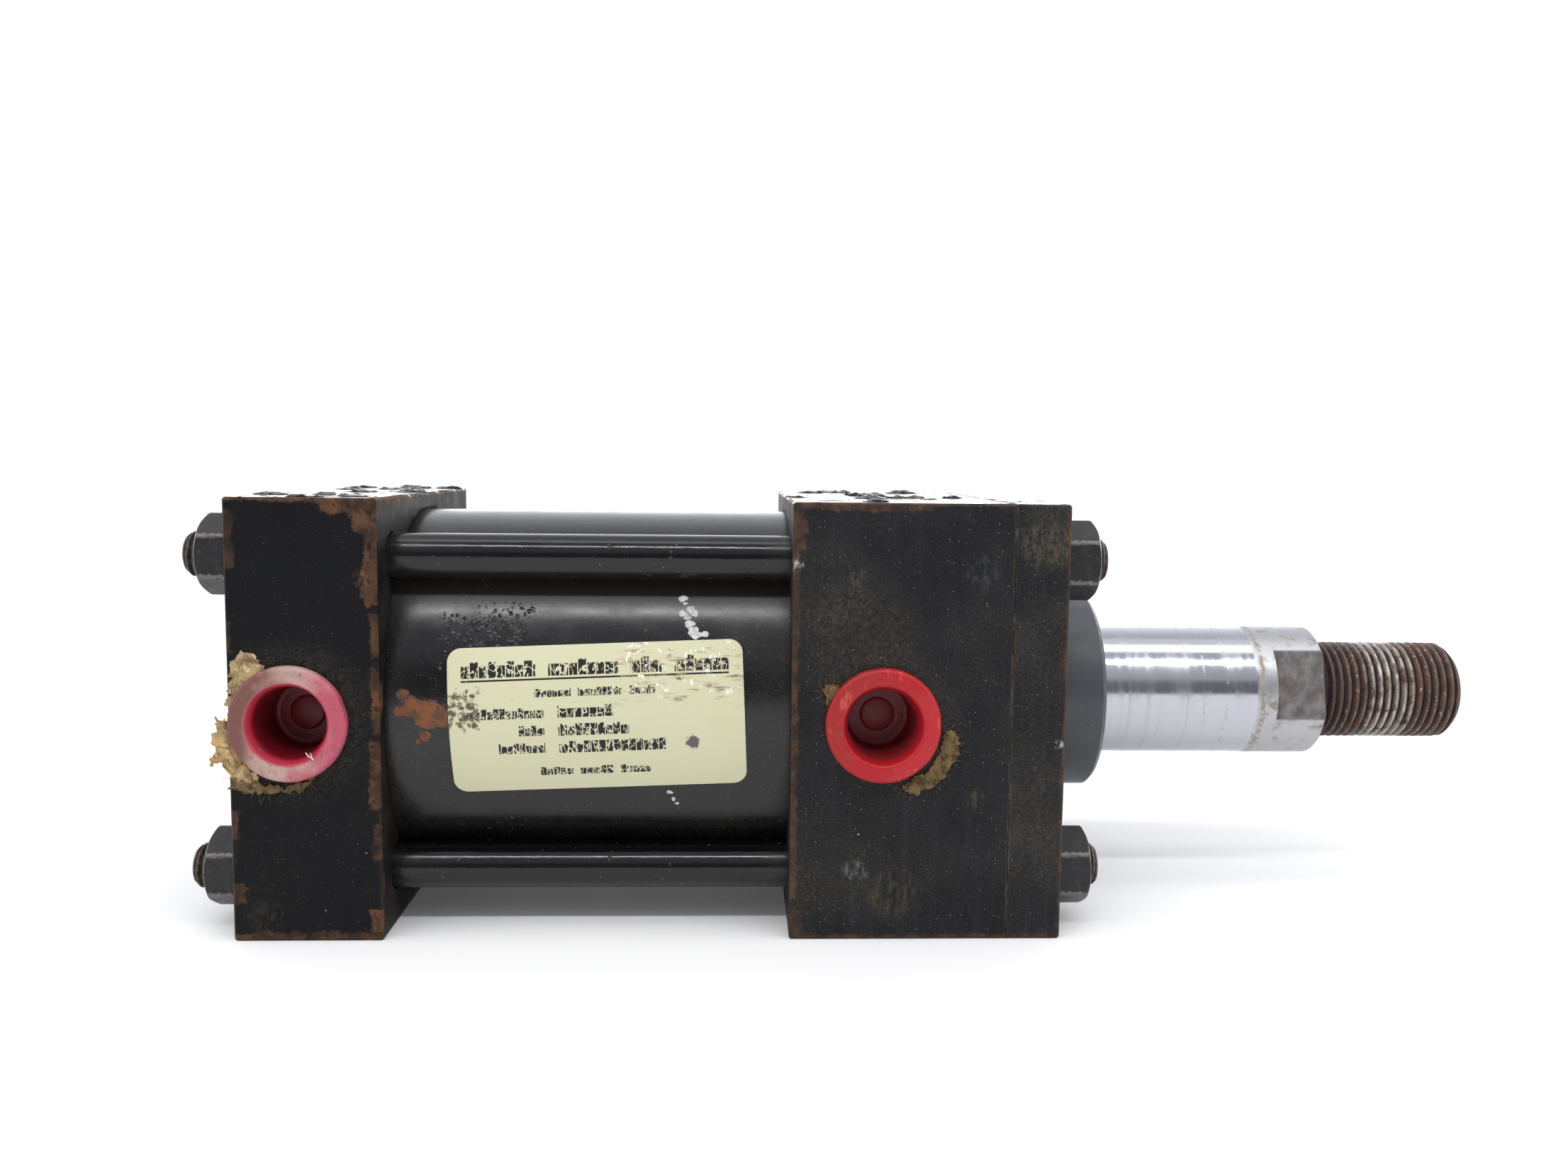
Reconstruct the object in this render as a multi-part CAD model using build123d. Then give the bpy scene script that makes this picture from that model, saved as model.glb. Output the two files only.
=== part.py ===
from build123d import *
import math
import os

# Square-head tie-rod pneumatic cylinder, 2.5 in bore by 1.5 in stroke, in millimetres.
# Origin: where the rod axis meets the front face of the retainer plate.
# +X points out of the rod end, +Z is up, and both ports face -Y.
# The rod stands RETRACT_TO_REST out of its fully retracted place.

INCH = 25.4

# Square blocks
BLOCK_SIDE = 3.0 * INCH
CAP_LENGTH = 1.0 * INCH
HEAD_LENGTH = 1.5 * INCH
PLATE_THICKNESS = 0.375 * INCH
BLOCK_EDGE_BREAK = 0.4
JOINT_EDGE_BREAK = 0.12

# Barrel tube, whose ends sit in ring grooves in the cap and the head
BORE_RADIUS = 1.25 * INCH
TUBE_OUTER_RADIUS = 1.375 * INCH
TUBE_VISIBLE_LENGTH = 2.75 * INCH
TUBE_SEAT_DEPTH = 3.0
TUBE_GROOVE_DEPTH = 4.0
TUBE_GROOVE_PLAY = 0.1
TUBE_SEAL_THICKNESS = 0.9
PILOT_HEIGHT = 3.0

# Stroke and piston
STROKE = 1.5 * INCH
PISTON_LENGTH = 1.0 * INCH
END_GAP = 0.175
RETRACT_TO_REST = 32.5
PISTON_RADIUS = BORE_RADIUS - 0.25
SEAL_OUTER_RADIUS = BORE_RADIUS - 0.03
SEAL_GROOVE_RADIUS = 27.0
SEAL_GROOVE_WIDTH = 4.6
SEAL_GROOVE_OFFSET = 2.2
SEAL_FLOOR_GAP = 0.35
SEAL_SIDE_GAP = 0.2
BAND_GROOVE_RADIUS = 29.6
BAND_GROOVE_WIDTH = 7.6

# Piston rod
ROD_RADIUS = 0.5 * INCH
SHOULDER_RETRACTED = 1.0 * INCH
ROD_CHAMFER = 0.6
SPIGOT_RADIUS = 7.94
SPIGOT_PLAY = 0.04
PISTON_NUT_LENGTH = 11.0
PISTON_NUT_ACROSS_FLATS = 22.2
SPIGOT_PAST_NUT = 2.0
FLAT_ACROSS = 21.4
FLAT_LENGTH = 10.0
FLAT_TILT = 13.3

# Rod end stud, 3/4-16 thread
STUD_RADIUS = 0.375 * INCH
STUD_ROOT_RADIUS = 8.2
STUD_LENGTH = 1.125 * INCH
STUD_RELIEF = 2.2
STUD_BURIED = 28.0
STUD_CHAMFER = 1.4
STUD_HOLE_PLAY = 0.05

# Rod gland with its seals
GLAND_FLANGE_RADIUS = 22.2
GLAND_WAIST_RADIUS = 19.35
GLAND_BOSS_RADIUS = 0.75 * INCH
GLAND_BOSS_LENGTH = 0.5 * INCH
GLAND_DEPTH = 27.0
GLAND_BORE_PLAY = 0.05
GLAND_CHAMFER = 0.8
GLAND_FIT_PLAY = 0.05
ROD_SEAL_RADIUS = 16.2
ROD_SEAL_BACK = -20.0
ROD_SEAL_FRONT = -14.5
WIPER_RADIUS = 16.0
WIPER_DEPTH = 4.0
O_RING_SECTION_RADIUS = 0.93
O_RING_GROOVE_RADIUS = 20.3
O_RING_GROOVE_BACK = -21.5
O_RING_GROOVE_FRONT = -18.5
RING_PLAY = 0.05

# Tie rods and their nuts, 5/16-24 thread
TIE_ROD_RADIUS = 3.97
TIE_ROD_PITCH = 2.19 * INCH
TIE_ROD_HOLE_RADIUS = 4.25
TIE_ROD_PAST_CAP = 9.5
TIE_ROD_PAST_PLATE = 8.45
TIE_ROD_CHAMFER = 0.7
NUT_ACROSS_FLATS = 0.5 * INCH
NUT_THICKNESS = 6.5
NUT_BORE_RADIUS = 4.0

# Ports, 3/8 NPT, with their plastic plugs
PORT_FROM_TUBE_FACE_CAP = 15.0
PORT_FROM_TUBE_FACE_HEAD = 15.8
PORT_MOUTH_RADIUS = 8.9
PORT_MOUTH_DEPTH = 0.7
PORT_THREAD_RADIUS = 8.2
PORT_THREAD_END_RADIUS = 7.85
PORT_THREAD_DEPTH = 11.2
PORT_DRILL_RADIUS = 7.34
PORT_DRILL_DEPTH = 14.2
PORT_PASSAGE_RADIUS = 4.0
PLUG_FLANGE_RADIUS = 10.0
PLUG_FLANGE_THICKNESS = 2.2
PLUG_FLANGE_ROUND = 0.4
PLUG_SHANK_RADIUS = 7.8
PLUG_TIP_RADIUS = 7.35
PLUG_SHANK_LENGTH = 10.8
PLUG_LIP_RADIUS = 6.9
PLUG_THROAT_RADIUS = 6.05
PLUG_CUP_END_RADIUS = 5.7
PLUG_FLOOR_THICKNESS = 1.0
PLUG_HUB_RADIUS = 3.0
PLUG_HUB_HEIGHT = 0.3

# Hollow in the middle of the cap and of the head
CAP_CAVITY_RADIUS = 15.0
CAP_CAVITY_END_WALL = 5.375
HEAD_CAVITY_RADIUS = 14.5

# Stick-on name label
LABEL_WIDTH = 51.0
LABEL_HEIGHT = 24.75
LABEL_CORNER = 2.4
LABEL_TILT = 2.35
LABEL_CENTRE_X = -81.05
LABEL_CENTRE_Z = 0.35
LABEL_THICKNESS = 0.18
LABEL_LIFT = 0.02

# Places along the rod axis
PLATE_BACK = -PLATE_THICKNESS
HEAD_FACE = PLATE_BACK - HEAD_LENGTH
CAP_FACE = HEAD_FACE - TUBE_VISIBLE_LENGTH
CAP_BACK = CAP_FACE - CAP_LENGTH
HEAD_PILOT = HEAD_FACE - PILOT_HEIGHT
CAP_PILOT = CAP_FACE + PILOT_HEIGHT
SHOULDER = SHOULDER_RETRACTED + RETRACT_TO_REST
PISTON_BACK = CAP_PILOT + END_GAP + RETRACT_TO_REST
PISTON_FRONT = PISTON_BACK + PISTON_LENGTH
CAP_PORT_X = CAP_FACE - PORT_FROM_TUBE_FACE_CAP
HEAD_PORT_X = HEAD_FACE + PORT_FROM_TUBE_FACE_HEAD
HALF_SIDE = BLOCK_SIDE / 2
HALF_PITCH = TIE_ROD_PITCH / 2

CORNERS = {
    "front_top": (-HALF_PITCH, HALF_PITCH),
    "front_bottom": (-HALF_PITCH, -HALF_PITCH),
    "back_top": (HALF_PITCH, HALF_PITCH),
    "back_bottom": (HALF_PITCH, -HALF_PITCH),
}


def bar(radius, start, end, y=0.0, z=0.0):
    """Round bar along X from start to end."""
    middle = (start + end) / 2
    return Pos(middle, y, z) * Rot(0, 90, 0) * Cylinder(radius, end - start)


def ring(outer_radius, inner_radius, start, end):
    """Plain ring about the rod axis."""
    return bar(outer_radius, start, end) - bar(inner_radius, start - 1, end + 1)


def turned(profile):
    """Solid turned about the rod axis from (x, radius) points that close on the axis or on a bore."""
    outline = Polyline(*profile, close=True)
    return revolve(make_face(outline), Axis.X, 360)


def hexagon_bar(across_flats, start, end, y=0.0, z=0.0):
    """Hexagonal bar along X with two flats facing -Y and +Y."""
    corner_radius = across_flats / math.sqrt(3)
    section = Plane(origin=(start, y, z), x_dir=(0, 0, 1), z_dir=(1, 0, 0))
    return extrude(section * RegularPolygon(corner_radius, 6), end - start)


def block(start, end, joint=None):
    """Square block about the rod axis with its edges broken, but only just at a joint face."""
    body = Pos((start + end) / 2, 0, 0) * Box(end - start, BLOCK_SIDE, BLOCK_SIDE)
    if joint is None:
        return chamfer(body.edges(), BLOCK_EDGE_BREAK)
    at_joint = body.edges().filter_by_position(Axis.X, joint - 0.01, joint + 0.01)
    body = chamfer(body.edges() - at_joint, BLOCK_EDGE_BREAK)
    at_joint = body.edges().filter_by_position(Axis.X, joint - 0.01, joint + 0.01)
    return chamfer(at_joint, JOINT_EDGE_BREAK)


def with_tie_rod_holes(body, start, end):
    """Body with the four corner holes drilled through it."""
    for y, z in CORNERS.values():
        body -= bar(TIE_ROD_HOLE_RADIUS, start - 1, end + 1, y, z)
    return body


def port_hole(port_x):
    """Everything that is drilled and tapped in from the -Y side at one port."""
    depth_of_axis = HALF_SIDE
    outline = Polyline(
        (0, -1),
        (PORT_MOUTH_RADIUS, -1),
        (PORT_MOUTH_RADIUS, 0),
        (PORT_THREAD_RADIUS, PORT_MOUTH_DEPTH),
        (PORT_THREAD_END_RADIUS, PORT_THREAD_DEPTH),
        (PORT_DRILL_RADIUS, PORT_THREAD_DEPTH),
        (PORT_DRILL_RADIUS, PORT_DRILL_DEPTH),
        (PORT_PASSAGE_RADIUS, PORT_DRILL_DEPTH),
        (PORT_PASSAGE_RADIUS, depth_of_axis),
        (0, depth_of_axis),
        close=True,
    )
    tool = revolve(make_face(outline), Axis.Y, 360)
    return Pos(port_x, -HALF_SIDE, 0) * tool


def tube_groove(face, direction):
    """Ring groove that takes the tube's end, cut from a block's face into the block."""
    bottom = face + direction * TUBE_GROOVE_DEPTH
    low = min(face, bottom)
    high = max(face, bottom)
    outer = TUBE_OUTER_RADIUS + TUBE_GROOVE_PLAY
    inner = BORE_RADIUS - TUBE_GROOVE_PLAY
    return ring(outer, inner, low, high)


def make_cap():
    """Rear block: pilot, tube groove, cavity for the piston nut, port."""
    cavity_end = CAP_BACK + CAP_CAVITY_END_WALL
    body = block(CAP_BACK, CAP_FACE)
    body += bar(BORE_RADIUS - TUBE_GROOVE_PLAY, CAP_FACE - 1, CAP_PILOT)
    body -= tube_groove(CAP_FACE, -1)
    body -= bar(CAP_CAVITY_RADIUS, cavity_end, CAP_PILOT + 1)
    body -= port_hole(CAP_PORT_X)
    return with_tie_rod_holes(body, CAP_BACK, CAP_FACE)


def make_head():
    """Front block: pilot, tube groove, cavity round the rod, gland counterbore, port."""
    gland_back = -GLAND_DEPTH
    counterbore = GLAND_FLANGE_RADIUS + GLAND_FIT_PLAY
    body = block(HEAD_FACE, PLATE_BACK, PLATE_BACK)
    body += bar(BORE_RADIUS - TUBE_GROOVE_PLAY, HEAD_PILOT, HEAD_FACE + 1)
    body -= tube_groove(HEAD_FACE, 1)
    body -= bar(HEAD_CAVITY_RADIUS, HEAD_PILOT - 1, gland_back + 1)
    body -= bar(counterbore, gland_back, PLATE_BACK + 1)
    body -= port_hole(HEAD_PORT_X)
    return with_tie_rod_holes(body, HEAD_FACE, PLATE_BACK)


def make_retainer_plate():
    """Square plate that holds the gland in the head."""
    body = block(PLATE_BACK, 0, PLATE_BACK)
    body -= bar(GLAND_WAIST_RADIUS + GLAND_FIT_PLAY, PLATE_BACK - 1, 1)
    return with_tie_rod_holes(body, PLATE_BACK, 0)


def make_tube():
    """Barrel tube, seated in both grooves."""
    start = CAP_FACE - TUBE_SEAT_DEPTH
    end = HEAD_FACE + TUBE_SEAT_DEPTH
    return ring(TUBE_OUTER_RADIUS, BORE_RADIUS, start, end)


def make_tube_seal(groove_bottom, direction):
    """Flat gasket between a tube end and the bottom of its groove."""
    far = groove_bottom + direction * TUBE_SEAL_THICKNESS
    outer = TUBE_OUTER_RADIUS - 0.1
    inner = BORE_RADIUS + 0.1
    return ring(outer, inner, min(groove_bottom, far), max(groove_bottom, far))


def make_rod_gland():
    """Bushing that guides the rod, with its flange in the head and its boss standing proud."""
    bore = ROD_RADIUS + GLAND_BORE_PLAY
    wiper_floor = GLAND_BOSS_LENGTH - WIPER_DEPTH
    return turned(
        [
            (-GLAND_DEPTH, bore),
            (-GLAND_DEPTH, GLAND_FLANGE_RADIUS),
            (O_RING_GROOVE_BACK, GLAND_FLANGE_RADIUS),
            (O_RING_GROOVE_BACK, O_RING_GROOVE_RADIUS),
            (O_RING_GROOVE_FRONT, O_RING_GROOVE_RADIUS),
            (O_RING_GROOVE_FRONT, GLAND_FLANGE_RADIUS),
            (PLATE_BACK, GLAND_FLANGE_RADIUS),
            (PLATE_BACK, GLAND_WAIST_RADIUS),
            (0, GLAND_WAIST_RADIUS),
            (0, GLAND_BOSS_RADIUS),
            (GLAND_BOSS_LENGTH - GLAND_CHAMFER, GLAND_BOSS_RADIUS),
            (GLAND_BOSS_LENGTH, GLAND_BOSS_RADIUS - GLAND_CHAMFER),
            (GLAND_BOSS_LENGTH, WIPER_RADIUS),
            (wiper_floor, WIPER_RADIUS),
            (wiper_floor, bore),
            (ROD_SEAL_FRONT, bore),
            (ROD_SEAL_FRONT, ROD_SEAL_RADIUS),
            (ROD_SEAL_BACK, ROD_SEAL_RADIUS),
            (ROD_SEAL_BACK, bore),
        ]
    )


def make_rod_seal():
    """Cup seal round the rod, open towards the pressure."""
    inner = ROD_RADIUS + GLAND_BORE_PLAY
    outer = ROD_SEAL_RADIUS - RING_PLAY
    back = ROD_SEAL_BACK + SEAL_SIDE_GAP
    front = ROD_SEAL_FRONT - SEAL_SIDE_GAP
    groove_floor = back + 2.2
    middle = (inner + outer) / 2
    return turned(
        [
            (back, inner),
            (back, middle - 0.6),
            (groove_floor, middle),
            (back, middle + 0.6),
            (back, outer),
            (front, outer),
            (front, inner),
        ]
    )


def make_rod_wiper():
    """Wiper ring in the gland's nose, with its lip towards the rod."""
    inner = ROD_RADIUS + GLAND_BORE_PLAY
    outer = WIPER_RADIUS - RING_PLAY
    back = GLAND_BOSS_LENGTH - WIPER_DEPTH
    front = GLAND_BOSS_LENGTH + 0.5
    return turned(
        [
            (back, inner + 0.6),
            (back, outer),
            (GLAND_BOSS_LENGTH - 0.3, outer),
            (GLAND_BOSS_LENGTH - 0.3, inner + 1.6),
            (front, inner + 0.5),
            (front, inner),
            (front - 0.9, inner),
        ]
    )


def make_gland_o_ring():
    """O-ring that seals the gland's flange in the head."""
    centre_radius = O_RING_GROOVE_RADIUS + O_RING_SECTION_RADIUS + 0.03
    centre_x = (O_RING_GROOVE_BACK + O_RING_GROOVE_FRONT) / 2
    section = Pos(centre_x, centre_radius, 0) * Circle(O_RING_SECTION_RADIUS)
    return revolve(section, Axis.X, 360)


def make_piston():
    """Piston with two seal grooves, a wear band groove and an inner o-ring groove."""
    rear_groove = PISTON_BACK + SEAL_GROOVE_OFFSET
    front_groove = PISTON_FRONT - SEAL_GROOVE_OFFSET - SEAL_GROOVE_WIDTH
    middle = (PISTON_BACK + PISTON_FRONT) / 2
    body = ring(PISTON_RADIUS, SPIGOT_RADIUS + SPIGOT_PLAY, PISTON_BACK, PISTON_FRONT)
    for start in (rear_groove, front_groove):
        body -= ring(BORE_RADIUS, SEAL_GROOVE_RADIUS, start, start + SEAL_GROOVE_WIDTH)
    half_band = BAND_GROOVE_WIDTH / 2
    body -= ring(BORE_RADIUS, BAND_GROOVE_RADIUS, middle - half_band, middle + half_band)
    body -= bar(SPIGOT_RADIUS + 1.7, middle - 1.3, middle + 1.3)
    return body


def make_piston_seal(groove_start):
    """Squared seal ring in one piston groove, with a shallow relief between its two lips."""
    outer = SEAL_OUTER_RADIUS
    inner = SEAL_GROOVE_RADIUS + SEAL_FLOOR_GAP
    start = groove_start + SEAL_SIDE_GAP
    end = groove_start + SEAL_GROOVE_WIDTH - SEAL_SIDE_GAP
    relief = ring(outer + 1, outer - 0.6, start + 1.3, end - 1.3)
    return ring(outer, inner, start, end) - relief


def make_piston_wear_band():
    """Bearing strip round the middle of the piston."""
    middle = (PISTON_BACK + PISTON_FRONT) / 2
    half = BAND_GROOVE_WIDTH / 2 - SEAL_SIDE_GAP
    outer = BORE_RADIUS - 0.05
    return ring(outer, BAND_GROOVE_RADIUS + SEAL_FLOOR_GAP, middle - half, middle + half)


def make_piston_o_ring():
    """O-ring between the piston and the rod's spigot."""
    middle = (PISTON_BACK + PISTON_FRONT) / 2
    section = Pos(middle, SPIGOT_RADIUS + 0.87, 0) * Circle(0.8)
    return revolve(section, Axis.X, 360)


def make_piston_rod():
    """Chromed rod: spigot for the piston, wrench flats and a tapped hole at the outer end."""
    spigot_end = PISTON_BACK - PISTON_NUT_LENGTH - SPIGOT_PAST_NUT
    hole_radius = STUD_ROOT_RADIUS + STUD_HOLE_PLAY
    body = turned(
        [
            (spigot_end, 0),
            (spigot_end, SPIGOT_RADIUS - 0.8),
            (spigot_end + 0.8, SPIGOT_RADIUS),
            (PISTON_FRONT, SPIGOT_RADIUS),
            (PISTON_FRONT, ROD_RADIUS),
            (SHOULDER - ROD_CHAMFER, ROD_RADIUS),
            (SHOULDER, ROD_RADIUS - ROD_CHAMFER),
            (SHOULDER, 0),
        ]
    )
    body -= bar(hole_radius, SHOULDER - STUD_BURIED - 0.5, SHOULDER + 1)
    slab_middle = SHOULDER - FLAT_LENGTH / 2 + 0.5
    slab_offset = FLAT_ACROSS / 2 + ROD_RADIUS / 2
    slab = Box(FLAT_LENGTH + 1, ROD_RADIUS, BLOCK_SIDE / 2)
    for side in (-1, 1):
        placed = Pos(slab_middle, side * slab_offset, 0) * slab
        body -= Rot(-FLAT_TILT, 0, 0) * placed
    return body


def make_rod_end_stud():
    """Threaded stud screwed into the rod's end, drawn at its crest diameter outside the rod."""
    tip = SHOULDER + STUD_LENGTH
    thread_start = SHOULDER + STUD_RELIEF
    step = STUD_RADIUS - STUD_ROOT_RADIUS
    return turned(
        [
            (SHOULDER - STUD_BURIED, 0),
            (SHOULDER - STUD_BURIED, STUD_ROOT_RADIUS - 1),
            (SHOULDER - STUD_BURIED + 1, STUD_ROOT_RADIUS),
            (thread_start, STUD_ROOT_RADIUS),
            (thread_start + step, STUD_RADIUS),
            (tip - STUD_CHAMFER, STUD_RADIUS),
            (tip, STUD_RADIUS - STUD_CHAMFER),
            (tip, 0),
        ]
    )


def make_piston_nut():
    """Hexagonal lock nut behind the piston."""
    start = PISTON_BACK - PISTON_NUT_LENGTH
    body = hexagon_bar(PISTON_NUT_ACROSS_FLATS, start, PISTON_BACK)
    return body - bar(SPIGOT_RADIUS + SPIGOT_PLAY, start - 1, PISTON_BACK + 1)


def make_tie_rod(y, z):
    """Full-length tie rod with chamfered ends."""
    start = CAP_BACK - TIE_ROD_PAST_CAP
    end = TIE_ROD_PAST_PLATE
    small = TIE_ROD_RADIUS - TIE_ROD_CHAMFER
    body = turned(
        [
            (start, 0),
            (start, small),
            (start + TIE_ROD_CHAMFER, TIE_ROD_RADIUS),
            (end - TIE_ROD_CHAMFER, TIE_ROD_RADIUS),
            (end, small),
            (end, 0),
        ]
    )
    return Pos(0, y, z) * body


def make_tie_rod_nut(face, direction, y, z):
    """Hex nut seated on a face, with the corners of its outer end turned off at 30 degrees."""
    flat_radius = NUT_ACROSS_FLATS / 2
    corner_radius = NUT_ACROSS_FLATS / math.sqrt(3)
    slope = math.tan(math.radians(30))
    washer_radius = flat_radius - 0.2
    drop = (corner_radius + 1 - washer_radius) * slope
    outer = face + direction * NUT_THICKNESS
    low = min(face, outer)
    high = max(face, outer)
    envelope = turned(
        [
            (face, 0),
            (face, corner_radius + 1),
            (outer - direction * drop, corner_radius + 1),
            (outer, washer_radius),
            (outer, 0),
        ]
    )
    body = hexagon_bar(NUT_ACROSS_FLATS, low, high, y, z) & (Pos(0, y, z) * envelope)
    return body - bar(NUT_BORE_RADIUS, low - 1, high + 1, y, z)


def make_port_plug(port_x):
    """Flanged plastic cup pushed into a port."""
    front = -PLUG_FLANGE_THICKNESS
    floor = PLUG_SHANK_LENGTH - PLUG_FLOOR_THICKNESS
    throat_depth = 0
    outline = Polyline(
        (0, floor - PLUG_HUB_HEIGHT),
        (PLUG_HUB_RADIUS, floor - PLUG_HUB_HEIGHT),
        (PLUG_HUB_RADIUS, floor),
        (PLUG_CUP_END_RADIUS, floor),
        (PLUG_THROAT_RADIUS, throat_depth),
        (PLUG_LIP_RADIUS, front),
        (PLUG_FLANGE_RADIUS - PLUG_FLANGE_ROUND, front),
        (PLUG_FLANGE_RADIUS, front + PLUG_FLANGE_ROUND),
        (PLUG_FLANGE_RADIUS, 0),
        (PLUG_SHANK_RADIUS, 0),
        (PLUG_TIP_RADIUS, PLUG_SHANK_LENGTH),
        (0, PLUG_SHANK_LENGTH),
        close=True,
    )
    return Pos(port_x, -HALF_SIDE, 0) * revolve(make_face(outline), Axis.Y, 360)


def make_name_label():
    """Rounded label that follows the tube on the port side."""
    inner = TUBE_OUTER_RADIUS + LABEL_LIFT
    outer = inner + LABEL_THICKNESS
    start = LABEL_CENTRE_X - LABEL_WIDTH
    end = LABEL_CENTRE_X + LABEL_WIDTH
    front = Plane(origin=(LABEL_CENTRE_X, -HALF_SIDE, LABEL_CENTRE_Z), x_dir=(1, 0, 0), z_dir=(0, -1, 0))
    outline = Rot(0, 0, LABEL_TILT) * RectangleRounded(LABEL_WIDTH, LABEL_HEIGHT, LABEL_CORNER)
    prism = extrude(front * outline, -HALF_SIDE / 2)
    return ring(outer, inner, start, end) & prism


def build_nodes():
    """Every sub-part by its node name."""
    nodes = {
        "cap": make_cap(),
        "head": make_head(),
        "retainer_plate": make_retainer_plate(),
        "tube": make_tube(),
        "cap_tube_seal": make_tube_seal(CAP_FACE - TUBE_GROOVE_DEPTH, 1),
        "head_tube_seal": make_tube_seal(HEAD_FACE + TUBE_GROOVE_DEPTH, -1),
        "rod_gland": make_rod_gland(),
        "rod_seal": make_rod_seal(),
        "rod_wiper": make_rod_wiper(),
        "gland_o_ring": make_gland_o_ring(),
        "piston": make_piston(),
        "piston_seal_rear": make_piston_seal(PISTON_BACK + SEAL_GROOVE_OFFSET),
        "piston_seal_front": make_piston_seal(PISTON_FRONT - SEAL_GROOVE_OFFSET - SEAL_GROOVE_WIDTH),
        "piston_wear_band": make_piston_wear_band(),
        "piston_o_ring": make_piston_o_ring(),
        "piston_nut": make_piston_nut(),
        "piston_rod": make_piston_rod(),
        "rod_end_stud": make_rod_end_stud(),
        "cap_port_plug": make_port_plug(CAP_PORT_X),
        "head_port_plug": make_port_plug(HEAD_PORT_X),
        "name_label": make_name_label(),
    }
    for corner, (y, z) in CORNERS.items():
        nodes[f"tie_rod_{corner}"] = make_tie_rod(y, z)
        nodes[f"cap_nut_{corner}"] = make_tie_rod_nut(CAP_BACK, -1, y, z)
        nodes[f"plate_nut_{corner}"] = make_tie_rod_nut(0, 1, y, z)
    return nodes


os.makedirs("parts", exist_ok=True)
for name, solid in build_nodes().items():
    export_step(solid, f"parts/{name}.step")
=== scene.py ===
"""Looks of the square-head pneumatic cylinder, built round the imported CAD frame.

The frame is in metres: X along the rod, Z up, the ports face -Y. Sizes in this file are in
millimetres, and MM turns them into metres where a mesh is made.
"""

import math
import random

import bmesh
import bpy
from mathutils import Matrix, Vector, geometry, noise


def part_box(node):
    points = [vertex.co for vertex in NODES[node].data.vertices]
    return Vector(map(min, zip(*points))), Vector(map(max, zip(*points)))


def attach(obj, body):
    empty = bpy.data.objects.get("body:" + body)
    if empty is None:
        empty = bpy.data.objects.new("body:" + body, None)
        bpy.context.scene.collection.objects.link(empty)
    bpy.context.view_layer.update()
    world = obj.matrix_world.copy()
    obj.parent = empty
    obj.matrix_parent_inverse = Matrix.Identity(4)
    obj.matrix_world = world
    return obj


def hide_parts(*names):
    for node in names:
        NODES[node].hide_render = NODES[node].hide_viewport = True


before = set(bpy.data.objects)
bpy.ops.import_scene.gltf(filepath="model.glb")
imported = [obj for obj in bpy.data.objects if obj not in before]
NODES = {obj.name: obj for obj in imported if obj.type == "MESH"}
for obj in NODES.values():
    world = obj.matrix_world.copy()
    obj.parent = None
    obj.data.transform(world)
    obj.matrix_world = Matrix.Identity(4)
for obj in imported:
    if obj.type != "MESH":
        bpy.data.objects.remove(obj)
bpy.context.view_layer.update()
MM = 0.001
TAU = math.tau


# ---------- places from the CAD frame

def box_mm(node):
    """Lowest and highest corner of a CAD node in millimetres."""
    low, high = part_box(node)
    return low / MM, high / MM


def centre_mm(node):
    """Middle of a CAD node's box in millimetres."""
    low, high = box_mm(node)
    return (low + high) / 2


PILOT_HEIGHT = 3.0
CAP_BACK = box_mm("cap")[0].x
CAP_FACE = box_mm("cap")[1].x - PILOT_HEIGHT
HEAD_FACE = box_mm("head")[0].x + PILOT_HEIGHT
PLATE_BACK, PLATE_FACE = (corner.x for corner in box_mm("retainer_plate"))
HALF_SIDE = box_mm("cap")[1].z
TUBE_RADIUS = box_mm("tube")[1].z
SHOULDER = box_mm("piston_rod")[1].x
ROD_RADIUS = box_mm("piston_rod")[1].z
STUD_RADIUS = box_mm("rod_end_stud")[1].z
BOSS_FACE = box_mm("rod_gland")[1].x
CAP_PORT_X = centre_mm("cap_port_plug").x
HEAD_PORT_X = centre_mm("head_port_plug").x
CORNERS = ("front_top", "front_bottom", "back_top", "back_bottom")

# The label's middle is LABEL_ARC from the tube's front, measured along the tube's skin towards the
# top. LABEL_TEAR is a torn spot, measured from the label's middle.
LABEL_X, LABEL_ARC = -81.05, 0.35
LABEL_WIDTH, LABEL_HEIGHT, LABEL_CORNER, LABEL_THICKNESS = 51.0, 25.9, 2.4, 0.12
LABEL_TILT = math.radians(2.35)
LABEL_TEAR = (16.3, -4.8)


# ---------- shader building

class Signal:
    """A shader value that can be used in sums, products and comparisons."""

    def __init__(self, shade, socket):
        self.shade = shade
        self.socket = socket

    def math(self, operation, *others):
        node = self.shade.add("ShaderNodeMath", operation=operation)
        for index, value in enumerate((self, *others)):
            self.shade.feed(node.inputs[index], value)
        return Signal(self.shade, node.outputs[0])

    def __add__(self, other):
        return self.math("ADD", other)

    def __sub__(self, other):
        return self.math("SUBTRACT", other)

    def __mul__(self, other):
        return self.math("MULTIPLY", other)

    def __truediv__(self, other):
        return self.math("DIVIDE", other)

    def __neg__(self):
        return self.math("MULTIPLY", -1.0)

    def least(self, other):
        return self.math("MINIMUM", other)

    def most(self, other):
        return self.math("MAXIMUM", other)

    def size(self):
        return self.math("ABSOLUTE")

    def inverse(self):
        """One minus this."""
        return (-self) + 1.0

    def step(self, low, high):
        """0 at low, 1 at high, with a smooth turn between; low may be above high."""
        node = self.shade.add("ShaderNodeMapRange", interpolation_type="SMOOTHSTEP")
        self.shade.feed(node.inputs["Value"], self)
        self.shade.feed(node.inputs["From Min"], low)
        self.shade.feed(node.inputs["From Max"], high)
        return Signal(self.shade, node.outputs[0])


def length(u, v):
    """Length of the flat vector of two Signals."""
    return (u * u + v * v).math("SQRT")


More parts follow.
